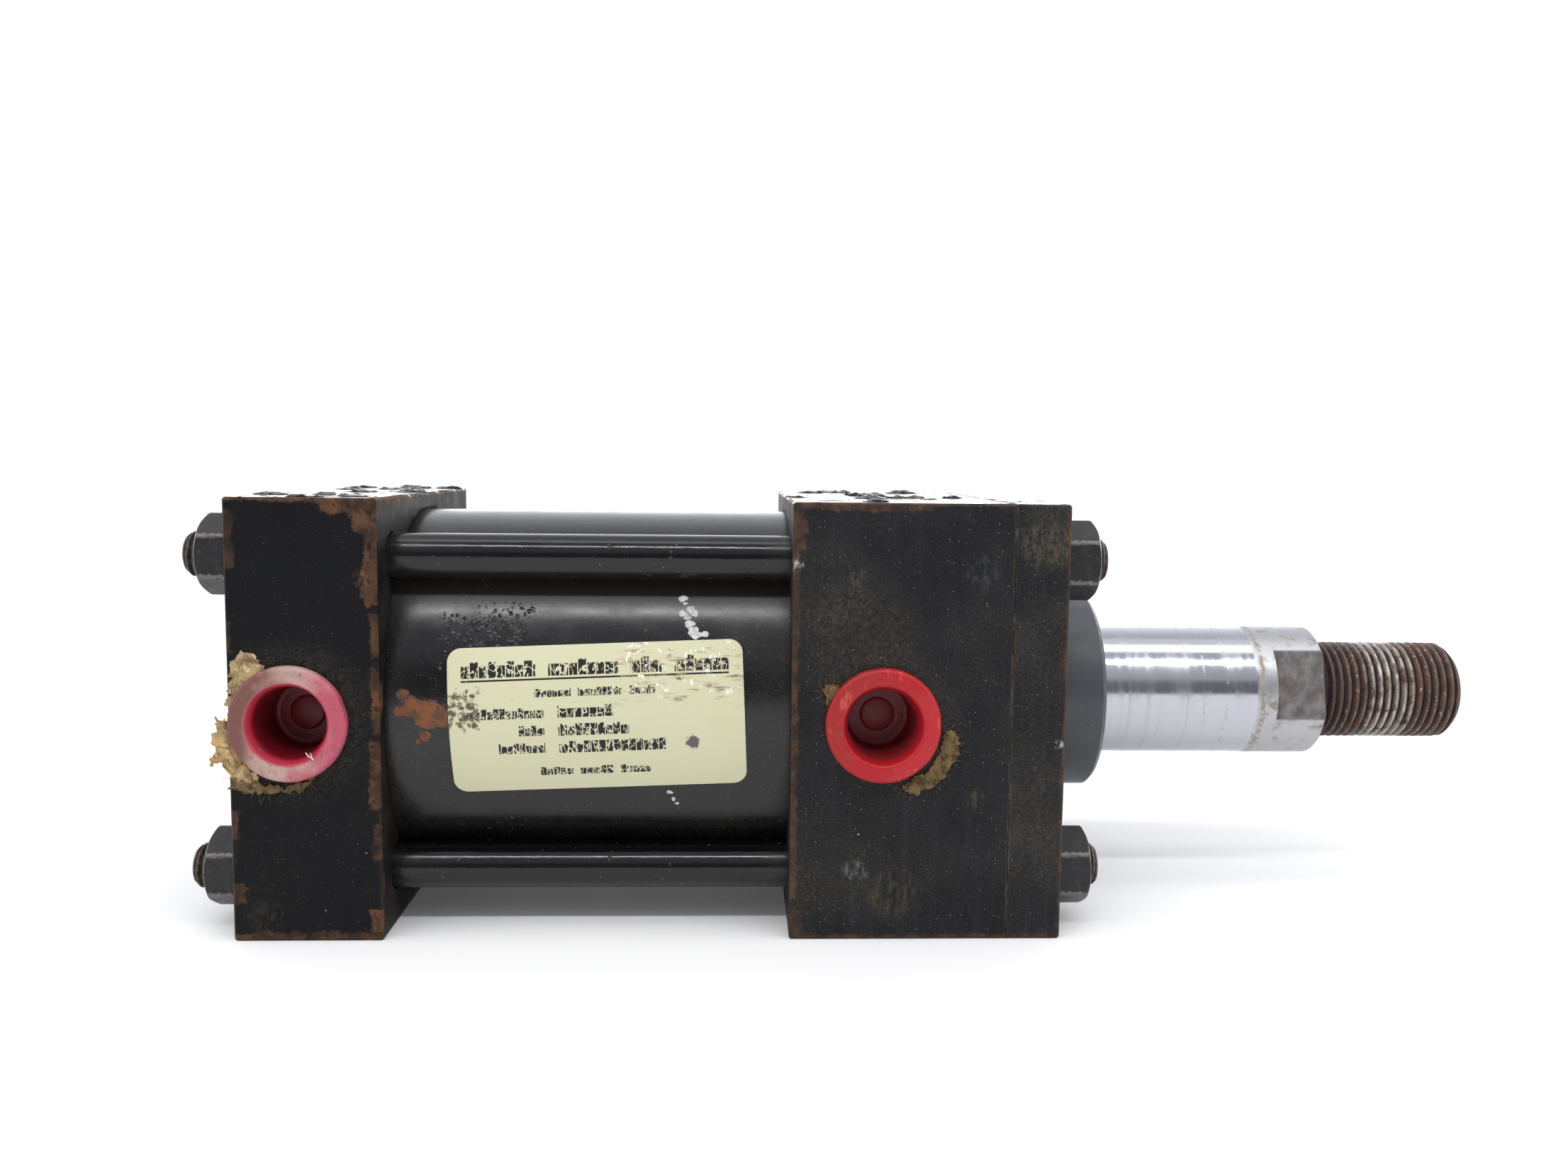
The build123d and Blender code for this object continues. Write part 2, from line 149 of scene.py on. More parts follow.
def linear(red, green, blue):
    """Scene-linear colour of an 8-bit display colour."""
    values = (red / 255, green / 255, blue / 255)
    return tuple(c / 12.92 if c <= 0.04045 else ((c + 0.055) / 1.055) ** 2.4 for c in values)


class Tree:
    """Shader nodes of a material or a world. Every colour is an 8-bit display colour."""

    def __init__(self, owner):
        owner.use_nodes = True
        self.tree = owner.node_tree
        self.tree.nodes.clear()

    def add(self, kind, **settings):
        node = self.tree.nodes.new(kind)
        for key, value in settings.items():
            setattr(node, key, value)
        return node

    def link(self, start, end):
        self.tree.links.new(start, end)

    def feed(self, socket, value):
        """Joins a Signal to a socket, or sets the socket to a colour or a number."""
        if isinstance(value, Signal):
            self.link(value.socket, socket)
        elif isinstance(value, tuple):
            socket.default_value = (*linear(*value), 1.0)
        else:
            socket.default_value = value

    def apart(self, vector):
        """X, Y and Z of a vector."""
        node = self.add("ShaderNodeSeparateXYZ")
        self.link(vector, node.inputs[0])
        return [Signal(self, out) for out in node.outputs]


class Surface(Tree):
    """One procedural material in object coordinates in mm, laid down coat by coat."""

    def __init__(self, name, seed, colour, rough, metal=0.0, specular=0.5, **constants):
        self.material = bpy.data.materials.new(name)
        super().__init__(self.material)
        self.seed = seed
        self.specular = specular
        self.constants = constants
        coordinates = self.add("ShaderNodeTexCoord")
        scaled = self.add("ShaderNodeVectorMath", operation="SCALE")
        self.link(coordinates.outputs["Object"], scaled.inputs[0])
        scaled.inputs["Scale"].default_value = 1 / MM
        self.place = scaled.outputs[0]
        self.x, self.y, self.z = self.apart(self.place)
        self.colour, self.rough, self.metal = colour, rough, metal
        self.height = None

    def moved(self, seed, stretch):
        """The place vector, stretched and shifted by both seeds so that patterns differ."""
        node = self.add("ShaderNodeMapping")
        self.link(self.place, node.inputs["Vector"])
        shift = self.seed + seed
        node.inputs["Location"].default_value = (shift * 17.3, shift * 5.1, shift * 9.7)
        node.inputs["Scale"].default_value = stretch
        return node.outputs[0]

    def noise(self, size, seed=0, detail=3.0, stretch=(1, 1, 1), roughness=0.55, warp=0.0):
        """Soft noise from 0 to 1 whose lumps are about size mm across."""
        node = self.add("ShaderNodeTexNoise")
        self.link(self.moved(seed, stretch), node.inputs["Vector"])
        node.inputs["Scale"].default_value = 1 / size
        node.inputs["Detail"].default_value = detail
        node.inputs["Roughness"].default_value = roughness
        node.inputs["Distortion"].default_value = warp
        return Signal(self, node.outputs[0])

    def cells(self, size, seed=0, stretch=(1, 1, 1), feature="F1"):
        """(distance in cell sizes, random value of the cell) of scattered cells."""
        node = self.add("ShaderNodeTexVoronoi", feature=feature)
        self.link(self.moved(seed, stretch), node.inputs["Vector"])
        node.inputs["Scale"].default_value = 1 / size
        distance = Signal(self, node.outputs["Distance"])
        if feature != "F1":
            return distance, None
        apart = self.add("ShaderNodeSeparateColor")
        self.link(node.outputs["Color"], apart.inputs[0])
        return distance, Signal(self, apart.outputs[0])

    def specks(self, spacing, radius, share, seed=0, stretch=(1, 1, 1)):
        """Mask of scattered specks; share is the part of the cells that hold one."""
        distance, pick = self.cells(spacing, seed, stretch)
        dot = distance.step(radius / spacing, radius / spacing * 0.5)
        return dot * pick.step(1 - share, 1 - share + 0.01)

    def mix(self, first, second, factor):
        """Blend of two colours, each a tuple or a Signal."""
        node = self.add("ShaderNodeMix", data_type="RGBA", clamp_factor=True)
        self.feed(node.inputs[0], factor)
        self.feed(node.inputs[6], first)
        self.feed(node.inputs[7], second)
        return Signal(self, node.outputs[2])

    def blend(self, first, second, factor):
        """Blend of two numbers, each a number or a Signal."""
        node = self.add("ShaderNodeMix", data_type="FLOAT", clamp_factor=True)
        self.feed(node.inputs[0], factor)
        self.feed(node.inputs[2], first)
        self.feed(node.inputs[3], second)
        return Signal(self, node.outputs[0])

    def coat(self, mask, colour=None, rough=None, metal=None):
        """Lays a coat over what is there where mask is 1."""
        if colour is not None:
            self.colour = self.mix(self.colour, colour, mask)
        if rough is not None:
            self.rough = self.blend(self.rough, rough, mask)
        if metal is not None:
            self.metal = self.blend(self.metal, metal, mask)

    def lift(self, amount):
        """Adds to the height in mm that the bump follows."""
        self.height = amount if self.height is None else self.height + amount

    def inside(self, low_u, high_u, low_v, high_v, u=None, v=None, ragged=None, soft=0.25):
        """Mask of a rectangle in u and v (x and z if not given) with a ragged edge."""
        u, v = u or self.x, v or self.z
        across = (u - low_u).least(-(u - high_u))
        up = (v - low_v).least(-(v - high_v))
        depth = across.least(up)
        return (depth if ragged is None else depth + ragged).step(-soft, soft)

    def spot(self, centre_u, centre_v, radius, u=None, v=None, ragged=None, soft=0.25):
        """Mask of a disc in u and v (x and z if not given) with a ragged edge."""
        u, v = u or self.x, v or self.z
        depth = -(length(u - centre_u, v - centre_v) - radius)
        return (depth if ragged is None else depth + ragged).step(-soft, soft)

    def done(self):
        """Joins everything to the shader and gives the material."""
        shader = self.add("ShaderNodeBsdfPrincipled")
        output = self.add("ShaderNodeOutputMaterial")
        self.link(shader.outputs[0], output.inputs["Surface"])
        self.feed(shader.inputs["Base Color"], self.colour)
        self.feed(shader.inputs["Roughness"], self.rough)
        self.feed(shader.inputs["Metallic"], self.metal)
        shader.inputs["Specular IOR Level"].default_value = self.specular
        for key, value in self.constants.items():
            shader.inputs[key.replace("_", " ")].default_value = value
        if self.height is not None:
            node = self.add("ShaderNodeBump")
            node.inputs["Strength"].default_value = 1.0
            node.inputs["Distance"].default_value = MM
            self.feed(node.inputs["Height"], self.height)
            self.link(node.outputs[0], shader.inputs["Normal"])
        return self.material


BLACK_PAINT = (20, 21, 25)
BLACK_PAINT_PALE = (31, 32, 36)
# Darker paint for the cap alone: painted shade, the block fronts growing lighter from the cap towards the
# plate.
CAP_PAINT_SHADED = (13, 14, 17)
DUST = (104, 96, 78)
DUST_DARK = (50, 46, 39)
WEAR_BROWN = (96, 68, 47)
WEAR_DARK = (56, 42, 34)
RUST_ORANGE = (150, 92, 50)
BARE_EDGE_AND_HIGHLIGHT = (138, 128, 114)
GOLD_SPECK = (170, 158, 122)
WHITE_SPECK = (216, 218, 214)


# ---------- materials: painted steel

def add_paint_grain(s, orange_peel=0.01, dust=1.0, matt=0.62):
    """Colour drift, fine texture and dust specks that all the black paint shares."""
    drift = s.noise(14, 0, 5)
    s.coat(drift.step(0.42, 0.75) * dust, BLACK_PAINT_PALE)
    s.rough = s.blend(s.rough, matt, s.noise(5, 1, 4).step(0.35, 0.8))
    film = s.noise(24, 2, 6).step(0.45, 0.78)
    s.coat(film * (0.5 * dust), DUST_DARK, 0.7)
    grain = s.noise(0.32, 16, 2).step(0.52, 0.78)
    s.coat(grain * (film * 0.5 + 0.2) * dust, DUST, 0.8)
    shown = min(1.0, 0.35 + dust)
    s.coat(s.specks(0.85, 0.1, 0.3) * (0.7 * shown), GOLD_SPECK, 0.8)
    s.coat(s.specks(0.5, 0.07, 0.34, 4) * 0.6, DUST, 0.8)
    s.coat(s.specks(3.6, 0.15, 0.14, 3) * shown, WHITE_SPECK, 0.6)
    s.lift(s.noise(0.9, 0, 3) * orange_peel)


def worn_colour(s, seed):
    """Mottled brown of steel that shows through the paint."""
    mottled = s.mix(WEAR_DARK, WEAR_BROWN, s.noise(2.6, seed, 6).step(0.36, 0.64))
    orange = s.noise(4.5, seed + 5, 4).step(0.56, 0.78)
    return s.mix(mottled, RUST_ORANGE, orange * 0.45)


def block_wear(s, along, front, broad, fine, patches):
    """(distance from the nearest edge, mask of the worn metal) of a block."""
    deep = -(s.y.size() - HALF_SIDE)
    up = -(s.z.size() - HALF_SIDE)
    edge = along.least(deep).most(along.most(deep).least(up))
    patchy = s.noise(9, 9, 3).step(0.5, 0.72)
    reach = patchy * 2.4 + 0.15
    wear = (reach - edge + broad * 0.5 + fine * 0.4).step(-0.15, 0.2)
    mask = wear * (front.inverse() * 0.85 + 0.1)
    for low_x, high_x, low_z, high_z, strength in patches:
        swing = min(1.5, 0.36 * min(high_x - low_x, high_z - low_z))
        patch = s.inside(low_x, high_x, low_z, high_z, ragged=broad * swing + fine * 0.8)
        mask = mask.most(patch * front * strength)
    kept = s.noise(1.3, 21, 6, roughness=0.66).step(0.57, 0.63)
    return edge, mask * (kept * 0.75).inverse()


def block_paint(
    name, start, end, seed, patches=(), marks=(), haze=(), dust=1.0, paint=BLACK_PAINT, gloss=0.18,
):
    """Black block. On the front face, patches are (x0, x1, z0, z1, strength) of worn metal,
    marks are (x, z, radius, colour, strength), and haze is (x, z, radius, strength) of dust."""
    s = Surface(name, seed, paint, 0.46, specular=gloss)
    add_paint_grain(s, dust=dust)
    wipe = s.noise(1.1, 6, 4, stretch=(1, 1, 0.05)).step(0.5, 0.8)
    s.coat(wipe * (0.16 * dust), (60, 61, 64), 0.5)
    front = s.y.step(-HALF_SIDE + 0.9, -HALF_SIDE + 0.3)
    top = s.z.step(HALF_SIDE - 0.7, HALF_SIDE - 0.2)
    along = (s.x - start).least(-(s.x - end))
    ends = along.step(0.5, 0.2)
    broad = (s.noise(2.8, 7, 6, roughness=0.62) - 0.5) * 4.0
    fine = (s.noise(0.5, 8, 4, roughness=0.6) - 0.5) * 1.1
    edge, worn = block_wear(s, along, front, broad, fine, patches)
    flaking = s.noise(7, 10, 7, roughness=0.7, warp=0.4).step(0.58, 0.62) * top
    worn = worn.most(flaking * 0.9)

    dusty_end = ends * s.noise(6, 11, 5).step(0.25, 0.75)
    s.coat(dusty_end * 0.6, DUST_DARK, 0.75)
    s.rough = s.blend(s.rough, 0.2, top)
    for x, z, radius, strength in haze:
        cloud = s.spot(x, z, radius, ragged=broad * 0.9, soft=radius * 0.35)
        grainy = s.noise(0.45, 17, 3).step(0.35, 0.75)
        s.coat(cloud * front * grainy * strength, DUST, 0.75)
        s.coat(cloud * front * (strength * 0.5), DUST_DARK, 0.75)
    s.coat(worn, worn_colour(s, 12), 0.7)
    crust = s.noise(0.8, 13, 5)
    s.coat(worn * crust.step(0.58, 0.72) * 0.28, DUST, 0.85)
    # Pale streaks along the edges: partly worn bare steel, partly a painted highlight where the edges catch
    # the light.
    bright = (-(edge - 0.3) + fine * 0.35).step(0, 0.25) * s.noise(3, 14).step(0.45, 0.65)
    s.coat(bright * 0.3, BARE_EDGE_AND_HIGHLIGHT, 0.5, 0.25)
    for x, z, radius, colour, strength in marks:
        streaky = s.noise(0.7, 18, 5, stretch=(1, 1, 0.5)).step(0.42, 0.66)
        mark = s.spot(x, z, radius, ragged=broad * 0.5, soft=radius * 0.4)
        s.coat(mark * front * streaky * strength, colour, 0.7)
    cracks, _ = s.cells(5.5, 19, feature="DISTANCE_TO_EDGE")
    broken = (cracks + fine * 0.06).step(0.05, 0.02) * top * s.noise(8, 20).step(0.4, 0.6)
    s.coat(broken * 0.8, (24, 20, 18), 0.8)
    s.lift(-(broken * 0.06))
    s.lift(-(worn * 0.09))
    s.lift(worn * crust * 0.08)
    s.lift(top * s.noise(3.2, 15, 5) * 0.05)
    return s.done()


# Rust on the tube left of the label: (x, arc from the front, radius)
RUST_BLOTCH = (
    (-110.0, 0.9, 2.6), (-112.9, 2.3, 1.8), (-114.3, 4.3, 1.0), (-107.9, 0.5, 1.9), (-115.0, 1.4, 0.9),
    (-110.6, -2.9, 0.9), (-111.8, -4.0, 0.4),
)


def tube_paint():
    """Satin black tube with dusty ends, blistered and bare spots, and a rust blotch."""
    s = Surface("tube_black", 31, (7, 7, 9), 0.17, specular=0.5)
    angle = s.z.math("ARCTAN2", -s.y)
    arc = angle * TUBE_RADIUS
    add_paint_grain(s, 0.008, dust=0.35, matt=0.26)
    ragged = (s.noise(3.0, 1, 6, roughness=0.62) - 0.5) * 7.0
    fine = (s.noise(0.6, 2, 4) - 0.5) * 1.4
    to_end = (s.x - CAP_FACE).least(-(s.x - HEAD_FACE))
    grime = (-(to_end - 2.2) + ragged * 0.8).step(-4.0, 4.0)
    s.coat(grime * 0.45, (32, 29, 26), 0.36)
    speckled = s.noise(0.3, 10, 3, roughness=0.7).step(0.55, 0.75)
    s.coat(speckled * (grime * 0.45 + 0.22), (86, 76, 60), 0.4)
    lower = (-(s.z + 14.0) + ragged).step(-4, 12)
    s.coat(lower * 0.25, (30, 29, 27), 0.4)
    shaded = (s.z - 20.0).step(-2, 3) * (s.z - 27.0).step(2, -1)
    s.coat(shaded * 0.6, DUST_DARK, 0.6)
    s.coat((-(s.z + 24.0)).step(0, 6) * 0.8, (30, 31, 33), 0.75)
    rust = None
    for x, v, radius in RUST_BLOTCH:
        spot = s.spot(x, v, radius, v=arc, ragged=ragged * 0.12 + fine * 0.9, soft=0.2)
        rust = spot if rust is None else rust.most(spot)
    rust_colour = s.mix((84, 58, 40), (120, 72, 42), s.noise(2, 4, 5).step(0.35, 0.6))
    s.coat(rust * s.noise(1.0, 9, 5).step(0.3, 0.42), rust_colour, 0.85)
    s.lift(-(rust * 0.12))
    pitted = s.inside(-107.5, -93.0, 12.0, 19.8, v=arc, ragged=ragged * 0.5, soft=2.0)
    pits, _ = s.cells(0.9, 5)
    blister = pits.step(0.55, 0.15) * pitted * s.noise(1.8, 6, 4).step(0.45, 0.62)
    s.lift(blister * 0.16)
    bare = s.noise(1.3, 7, 5).step(0.65, 0.69) * s.noise(21, 8).step(0.55, 0.6)
    s.coat(bare * 0.7, WEAR_BROWN, 0.8)
    s.lift(-(bare * 0.05))
    return s.done()


def tie_rod_paint():
    """Gloss black bar with chips in the paint and grime at its ends; x runs along the bar."""
    s = Surface("tie_rod_black", 51, (9, 9, 11), 0.13, specular=0.45)
    drift = s.noise(7, 0, 4, stretch=(0.5, 1, 1))
    s.rough = s.blend(0.11, 0.26, drift.step(0.5, 0.85))
    ragged = s.noise(1.6, 1, 5)
    to_end = (s.x - CAP_FACE).least(-(s.x - HEAD_FACE))
    grime = (-(to_end - 2.6) + (ragged - 0.5) * 11).step(-4.5, 5.0)
    s.coat(grime * 0.6, (30, 27, 24), 0.42)
    under = (-(s.z + 0.6) + (ragged - 0.5) * 4).step(-0.5, 2.5)
    s.coat(under * 0.3, DUST_DARK, 0.5)
    chips = s.noise(3.2, 2, 6, roughness=0.62).step(0.655, 0.675)
    s.coat(chips, worn_colour(s, 3), 0.7)
    s.coat(s.specks(1.2, 0.12, 0.25), GOLD_SPECK, 0.8)
    outside = (s.x - (CAP_BACK - 0.2)).step(0, -0.5).most((s.x - PLATE_FACE).step(0, 0.5))
    thread = s.mix((44, 40, 36), (92, 80, 66), s.noise(0.9, 4, 5).step(0.4, 0.7))
    s.coat(outside, thread, 0.6)
    s.coat(outside * s.noise(1.6, 5).step(0.6, 0.7) * 0.6, RUST_ORANGE, 0.8)
    s.lift(-(chips * 0.07))
    s.lift(s.noise(1.1, 6, 3, stretch=(0.4, 1, 1)) * 0.02)
    return s.done()


def nut_paint():
    """Dusty black nut with lighter corners and face rims, partly worn metal and partly a painted highlight,
    and a few rust spots; centred on its bore.
    """
    s = Surface("nut_black", 71, (13, 12, 15), 0.36, specular=0.45)
    radius = length(s.y, s.z)
    fine = s.noise(0.7, 0, 5)
    s.coat(s.noise(3.5, 1, 5).step(0.45, 0.72) * 0.5, (46, 38, 40), 0.6)
    s.coat(s.noise(1.6, 4, 5).step(0.56, 0.7) * 0.5, (74, 64, 60), 0.75)
    # Lighter corners and face rims: partly worn metal, partly a painted highlight on the edges.
    corner = (radius + (fine - 0.5) * 0.5).step(7.0, 7.2)
    rim = ((s.x.size() - 3.0) + (fine - 0.5) * 0.4).step(0.0, 0.2) * radius.step(5.8, 6.1)
    s.coat(corner.most(rim) * 0.65, (132, 124, 118), 0.42, 0.3)
    rust = s.noise(1.5, 2, 6, roughness=0.65).step(0.63, 0.68)
    s.coat(rust * 0.8, worn_colour(s, 3), 0.8)
    s.coat(s.specks(1.0, 0.12, 0.3), GOLD_SPECK, 0.8)
    turning = (radius * 9.0).math("SINE") * (s.x.size() - 3.0).step(0, 0.2)
    s.lift(fine * 0.04)
    s.lift(turning * 0.006)
    return s.done()


def gland_satin():
    """Dark satin gland with fine turning marks and a little dust."""
    s = Surface("gland_satin", 81, (66, 69, 74), 0.4, specular=0.5)
    s.rough = s.blend(0.36, 0.52, s.noise(5, 0, 4).step(0.35, 0.7))
    s.coat(s.noise(7, 1, 5).step(0.5, 0.8) * 0.4, (78, 78, 77), 0.6)
    s.coat(s.specks(1.1, 0.1, 0.3), GOLD_SPECK, 0.8)
    marks = s.noise(0.35, 2, 2, stretch=(1, 0.03, 0.03))
    s.lift(marks * 0.006)
    edge = (s.x - (BOSS_FACE - 1.0)).step(0, 0.3) * s.noise(1.5, 3).step(0.5, 0.7)
    s.coat(edge * 0.4, (120, 120, 120), 0.4, 0.4)
    return s.done()


# ---------- materials: rod, stud, plastics

DIRT_RING_X = 45.0
FAINT_RING_XS = (33.5, 38.0)
MATT_FROM_X = 43.9
FLATS_FROM_X = 47.7


def rod_chrome():
    """Chromed rod: polished run, dirt rings, matt end zone, brown wrench flats."""
    s = Surface("rod_chrome", 91, (184, 186, 191), 0.16, metal=1.0)
    radius = length(s.y, s.z)
    haze = s.noise(2.2, 0, 5, stretch=(1, 0.25, 0.25))
    s.rough = s.blend(0.13, 0.27, haze.step(0.4, 0.72))
    bands = s.noise(1.0, 1, 4, stretch=(1, 0.02, 0.02)).step(0.52, 0.72)
    s.rough = s.blend(s.rough, 0.34, bands * 0.7)
    s.colour = s.mix(s.colour, (168, 169, 174), bands * 0.6)
    wander = (s.noise(3.0, 2, 4) - 0.5) * 1.1
    ring = (s.x - DIRT_RING_X + wander).size().step(0.7, 0.15) * s.noise(0.8, 3, 4).step(0.4, 0.6)
    second = (s.x - FAINT_RING_XS[0]).size().step(0.35, 0.1) * s.noise(1.2, 4, 4).step(0.5, 0.65)
    third = (s.x - FAINT_RING_XS[1] + wander * 0.4).size().step(0.35, 0.1)
    third = third * s.noise(1.2, 5).step(0.5, 0.65)
    matt = (s.x - MATT_FROM_X + wander * 0.6).step(-0.3, 0.3)
    stain = s.noise(2.4, 6, 6, roughness=0.62)
    matt_colour = s.mix((178, 178, 180), (140, 132, 124), stain.step(0.5, 0.72))
    s.coat(matt, matt_colour, 0.42)
    s.coat(matt * stain.step(0.64, 0.74) * 0.6, (120, 92, 70), 0.7, 0.2)
    s.coat(ring.most(second * 0.5).most(third * 0.5) * 0.75, (140, 126, 98), 0.75, 0.1)
    on_flat = radius.step(ROD_RADIUS - 0.06, ROD_RADIUS - 0.16) * (s.x - FLATS_FROM_X).step(0, 0.1)
    flat_noise = s.noise(2.2, 7, 6, roughness=0.6)
    flat_colour = s.mix((98, 92, 92), (134, 128, 126), flat_noise.step(0.35, 0.7))
    flat_colour = s.mix(flat_colour, (104, 84, 72), s.noise(3.5, 8).step(0.56, 0.74))
    s.coat(on_flat, flat_colour, 0.5, 0.5)
    rusty_side = on_flat * (s.x - (FLATS_FROM_X + 0.9)).step(0.8, -0.4) * s.noise(0.9, 11, 4).step(0.4, 0.6)
    s.coat(rusty_side, (96, 66, 48), 0.7, 0.2)
    face_end = (s.x - (SHOULDER - 0.3)).step(0, 0.2)
    s.coat(face_end, (110, 92, 80), 0.6, 0.4)
    hidden = (s.x - PLATE_BACK).step(0, -60.0)
    s.coat(hidden * 0.2, (150, 150, 150), 0.2)
    s.lift(s.noise(0.5, 9, 2, stretch=(1, 0.05, 0.05)) * 0.003)
    s.lift(on_flat * s.noise(0.7, 10, stretch=(0.2, 1, 1)) * 0.05)
    return s.done()


WORN_CRESTS_FROM_X, WORN_CRESTS_TO_X, WORN_TIP_FROM_X = 68.2, 75.6, 84.4


def stud_rust():
    """Rusty thread: dark roots, bright worn crests in the middle of its length."""
    s = Surface("stud_rust", 101, (76, 60, 54), 0.5, metal=0.35, specular=0.45)
    radius = length(s.y, s.z)
    blotch = s.noise(3.0, 0, 6, roughness=0.65)
    s.coat(blotch.step(0.42, 0.66), (104, 72, 54), 0.7, 0.15)
    s.coat(s.noise(2.0, 1, 5).step(0.58, 0.72) * 0.6, (132, 80, 50), 0.85, 0.0)
    s.coat(s.noise(1.4, 2, 5).step(0.54, 0.7) * 0.5, (78, 38, 34), 0.6, 0.0)
    s.coat(s.noise(1.9, 6, 4).step(0.58, 0.72) * 0.4, (86, 84, 62), 0.6, 0.0)
    root = radius.step(9.05, 8.75)
    s.coat(root * 0.75, (38, 26, 23), 0.8, 0.0)
    crest = (radius + (s.noise(0.7, 3, 4) - 0.5) * 0.3).step(9.15, 9.35)
    drift = (s.noise(3.4, 9, 3) - 0.5) * 3.0
    middle = (s.x - WORN_CRESTS_FROM_X + drift).step(-2.0, 1.2)
    middle = middle * (s.x - WORN_CRESTS_TO_X + drift).step(1.8, -0.8)
    tip = (s.x - WORN_TIP_FROM_X).step(0, 0.8) * 0.7
    rubbed = (middle * 0.85 + 0.06).most(tip) * s.noise(2.2, 4, 6).step(0.36, 0.56)
    s.coat(crest * rubbed, (176, 170, 162), 0.3, 0.9)
    flank = middle * s.noise(2.6, 8, 5).step(0.4, 0.6) * root.inverse()
    s.coat(flank * 0.75, (150, 144, 138), 0.4, 0.6)
    glint = s.noise(0.8, 7, 4).step(0.6, 0.68) * crest
    s.coat(glint * 0.7, (190, 184, 176), 0.25, 0.9)
    inner = (s.x - (SHOULDER + 6.5)).step(3.0, -3.5)
    s.coat(inner * 0.55, (50, 40, 43), 0.5, 0.2)
    s.lift(s.noise(0.45, 5, 5, roughness=0.7) * 0.09)
    return s.done()


def plug_plastic(name, seed, face, blush, wall, cup, grime):
    """Moulded port plug about its own axis. blush is the flange face's colour towards +X, cup is
    the painted shade deep in the cup, and grime runs from 0 to 1 and sets both the dirt and the
    painted shade on the flange towards -X and up."""
    s = Surface(name, seed, wall, 0.38, specular=0.35, Subsurface_Weight=0.06, Subsurface_Scale=0.002)
    radius = length(s.x, s.z)
    fine = s.noise(0.8, 1, 4)
    cloud = (s.noise(4.5, 0, 5) - 0.5) * 1.6
    flange = (radius + (fine - 0.5) * 0.3).step(6.95, 7.35)
    towards = (s.x / 10 - s.z / 40 + cloud).step(0.05, 0.75)
    s.coat(flange, s.mix(face, blush, towards), 0.42)
    lip = (radius - 6.75).size().step(0.35, 0.15)
    s.coat(lip * 0.5, blush, 0.3)
    # The cup inside the lip is painted darker: painted shade in the recess.
    inside = radius.step(6.6, 6.4) * (s.y + 0.3).step(-0.25, 0.35)
    s.coat(inside * 0.93, cup, 0.4)
    # Flange darker towards -X and up: painted shade, scaled by grime.
    shaded = (-(s.x / 8) + s.z / 30 + cloud * 0.8).step(0.1, 1.0) * flange
    s.coat(shaded * grime, (104, 56, 50), 0.6)
    dirt = s.noise(1.5, 2, 6, roughness=0.66).step(0.54, 0.68)
    s.coat(dirt * flange * grime * 0.8, (112, 86, 74), 0.7)
    s.coat(s.specks(0.9, 0.1, 0.3) * grime, (60, 48, 44), 0.7)
    s.coat(s.specks(1.6, 0.14, 0.2, 3) * 0.5, (232, 214, 196), 0.6)
    scuff = s.noise(1.4, 4, 5, stretch=(1, 1, 0.3)).step(0.6, 0.7)
    s.coat(scuff * flange * 0.3, (226, 120, 96), 0.55)
    s.lift(fine * 0.03)
    s.lift(s.noise(3.5, 5, 2) * 0.08)
    return s.done()


def paper_tape():
    """Brown crumpled masking tape, darker along its creases as painted shade."""
    s = Surface("masking_tape", 121, (172, 148, 108), 0.75, specular=0.3)
    s.coat(s.noise(2.4, 0, 6).step(0.42, 0.66), (128, 106, 72), 0.85)
    s.coat(s.noise(1.3, 1, 6, roughness=0.65).step(0.54, 0.64), (206, 184, 140), 0.65)
    s.coat(s.noise(3.0, 2, 5).step(0.56, 0.7) * 0.7, (92, 72, 48), 0.8)
    low = (-(s.z + 1.0)).step(0, 3)
    s.coat(low * s.noise(1.6, 5, 5).step(0.4, 0.6) * 0.7, (206, 166, 106), 0.7)
    creases, _ = s.cells(3.1, 6, stretch=(1, 1, 0.6), feature="DISTANCE_TO_EDGE")
    # The dark colour along the creases is painted shade.
    s.coat(creases.step(0.05, 0.0) * 0.6, (80, 60, 38), 0.8)
    s.lift(creases.step(0.0, 0.4) * 0.4)
    s.lift(s.noise(0.35, 3, 5, stretch=(1, 1, 2.5)) * 0.04)
    s.lift(s.noise(2.8, 4, 2, warp=0.6) * 0.3)
    return s.done()


def felt_residue():
    """Ochre fibrous leftover of a tape's glue."""
    s = Surface("tape_residue", 131, (118, 98, 66), 0.9, specular=0.2)
    s.coat(s.noise(1.2, 0, 6).step(0.4, 0.65), (74, 60, 42), 0.95)
    s.coat(s.noise(0.5, 1, 5).step(0.58, 0.7), (150, 128, 84), 0.9)
    s.lift(s.noise(0.28, 2, 5, roughness=0.7) * 0.22)
    return s.done()


def white_paint_spot():
    """Dried white paint, slightly grey and dusty."""
    s = Surface("white_paint_spot", 141, (206, 204, 206), 0.6, specular=0.4)
    s.coat(s.noise(0.9, 0, 5).step(0.4, 0.7), (170, 168, 172), 0.7)
    s.coat(s.noise(0.5, 1, 5).step(0.62, 0.72), (120, 116, 112), 0.7)
    s.lift(s.noise(0.5, 2, 4) * 0.08)
    return s.done()


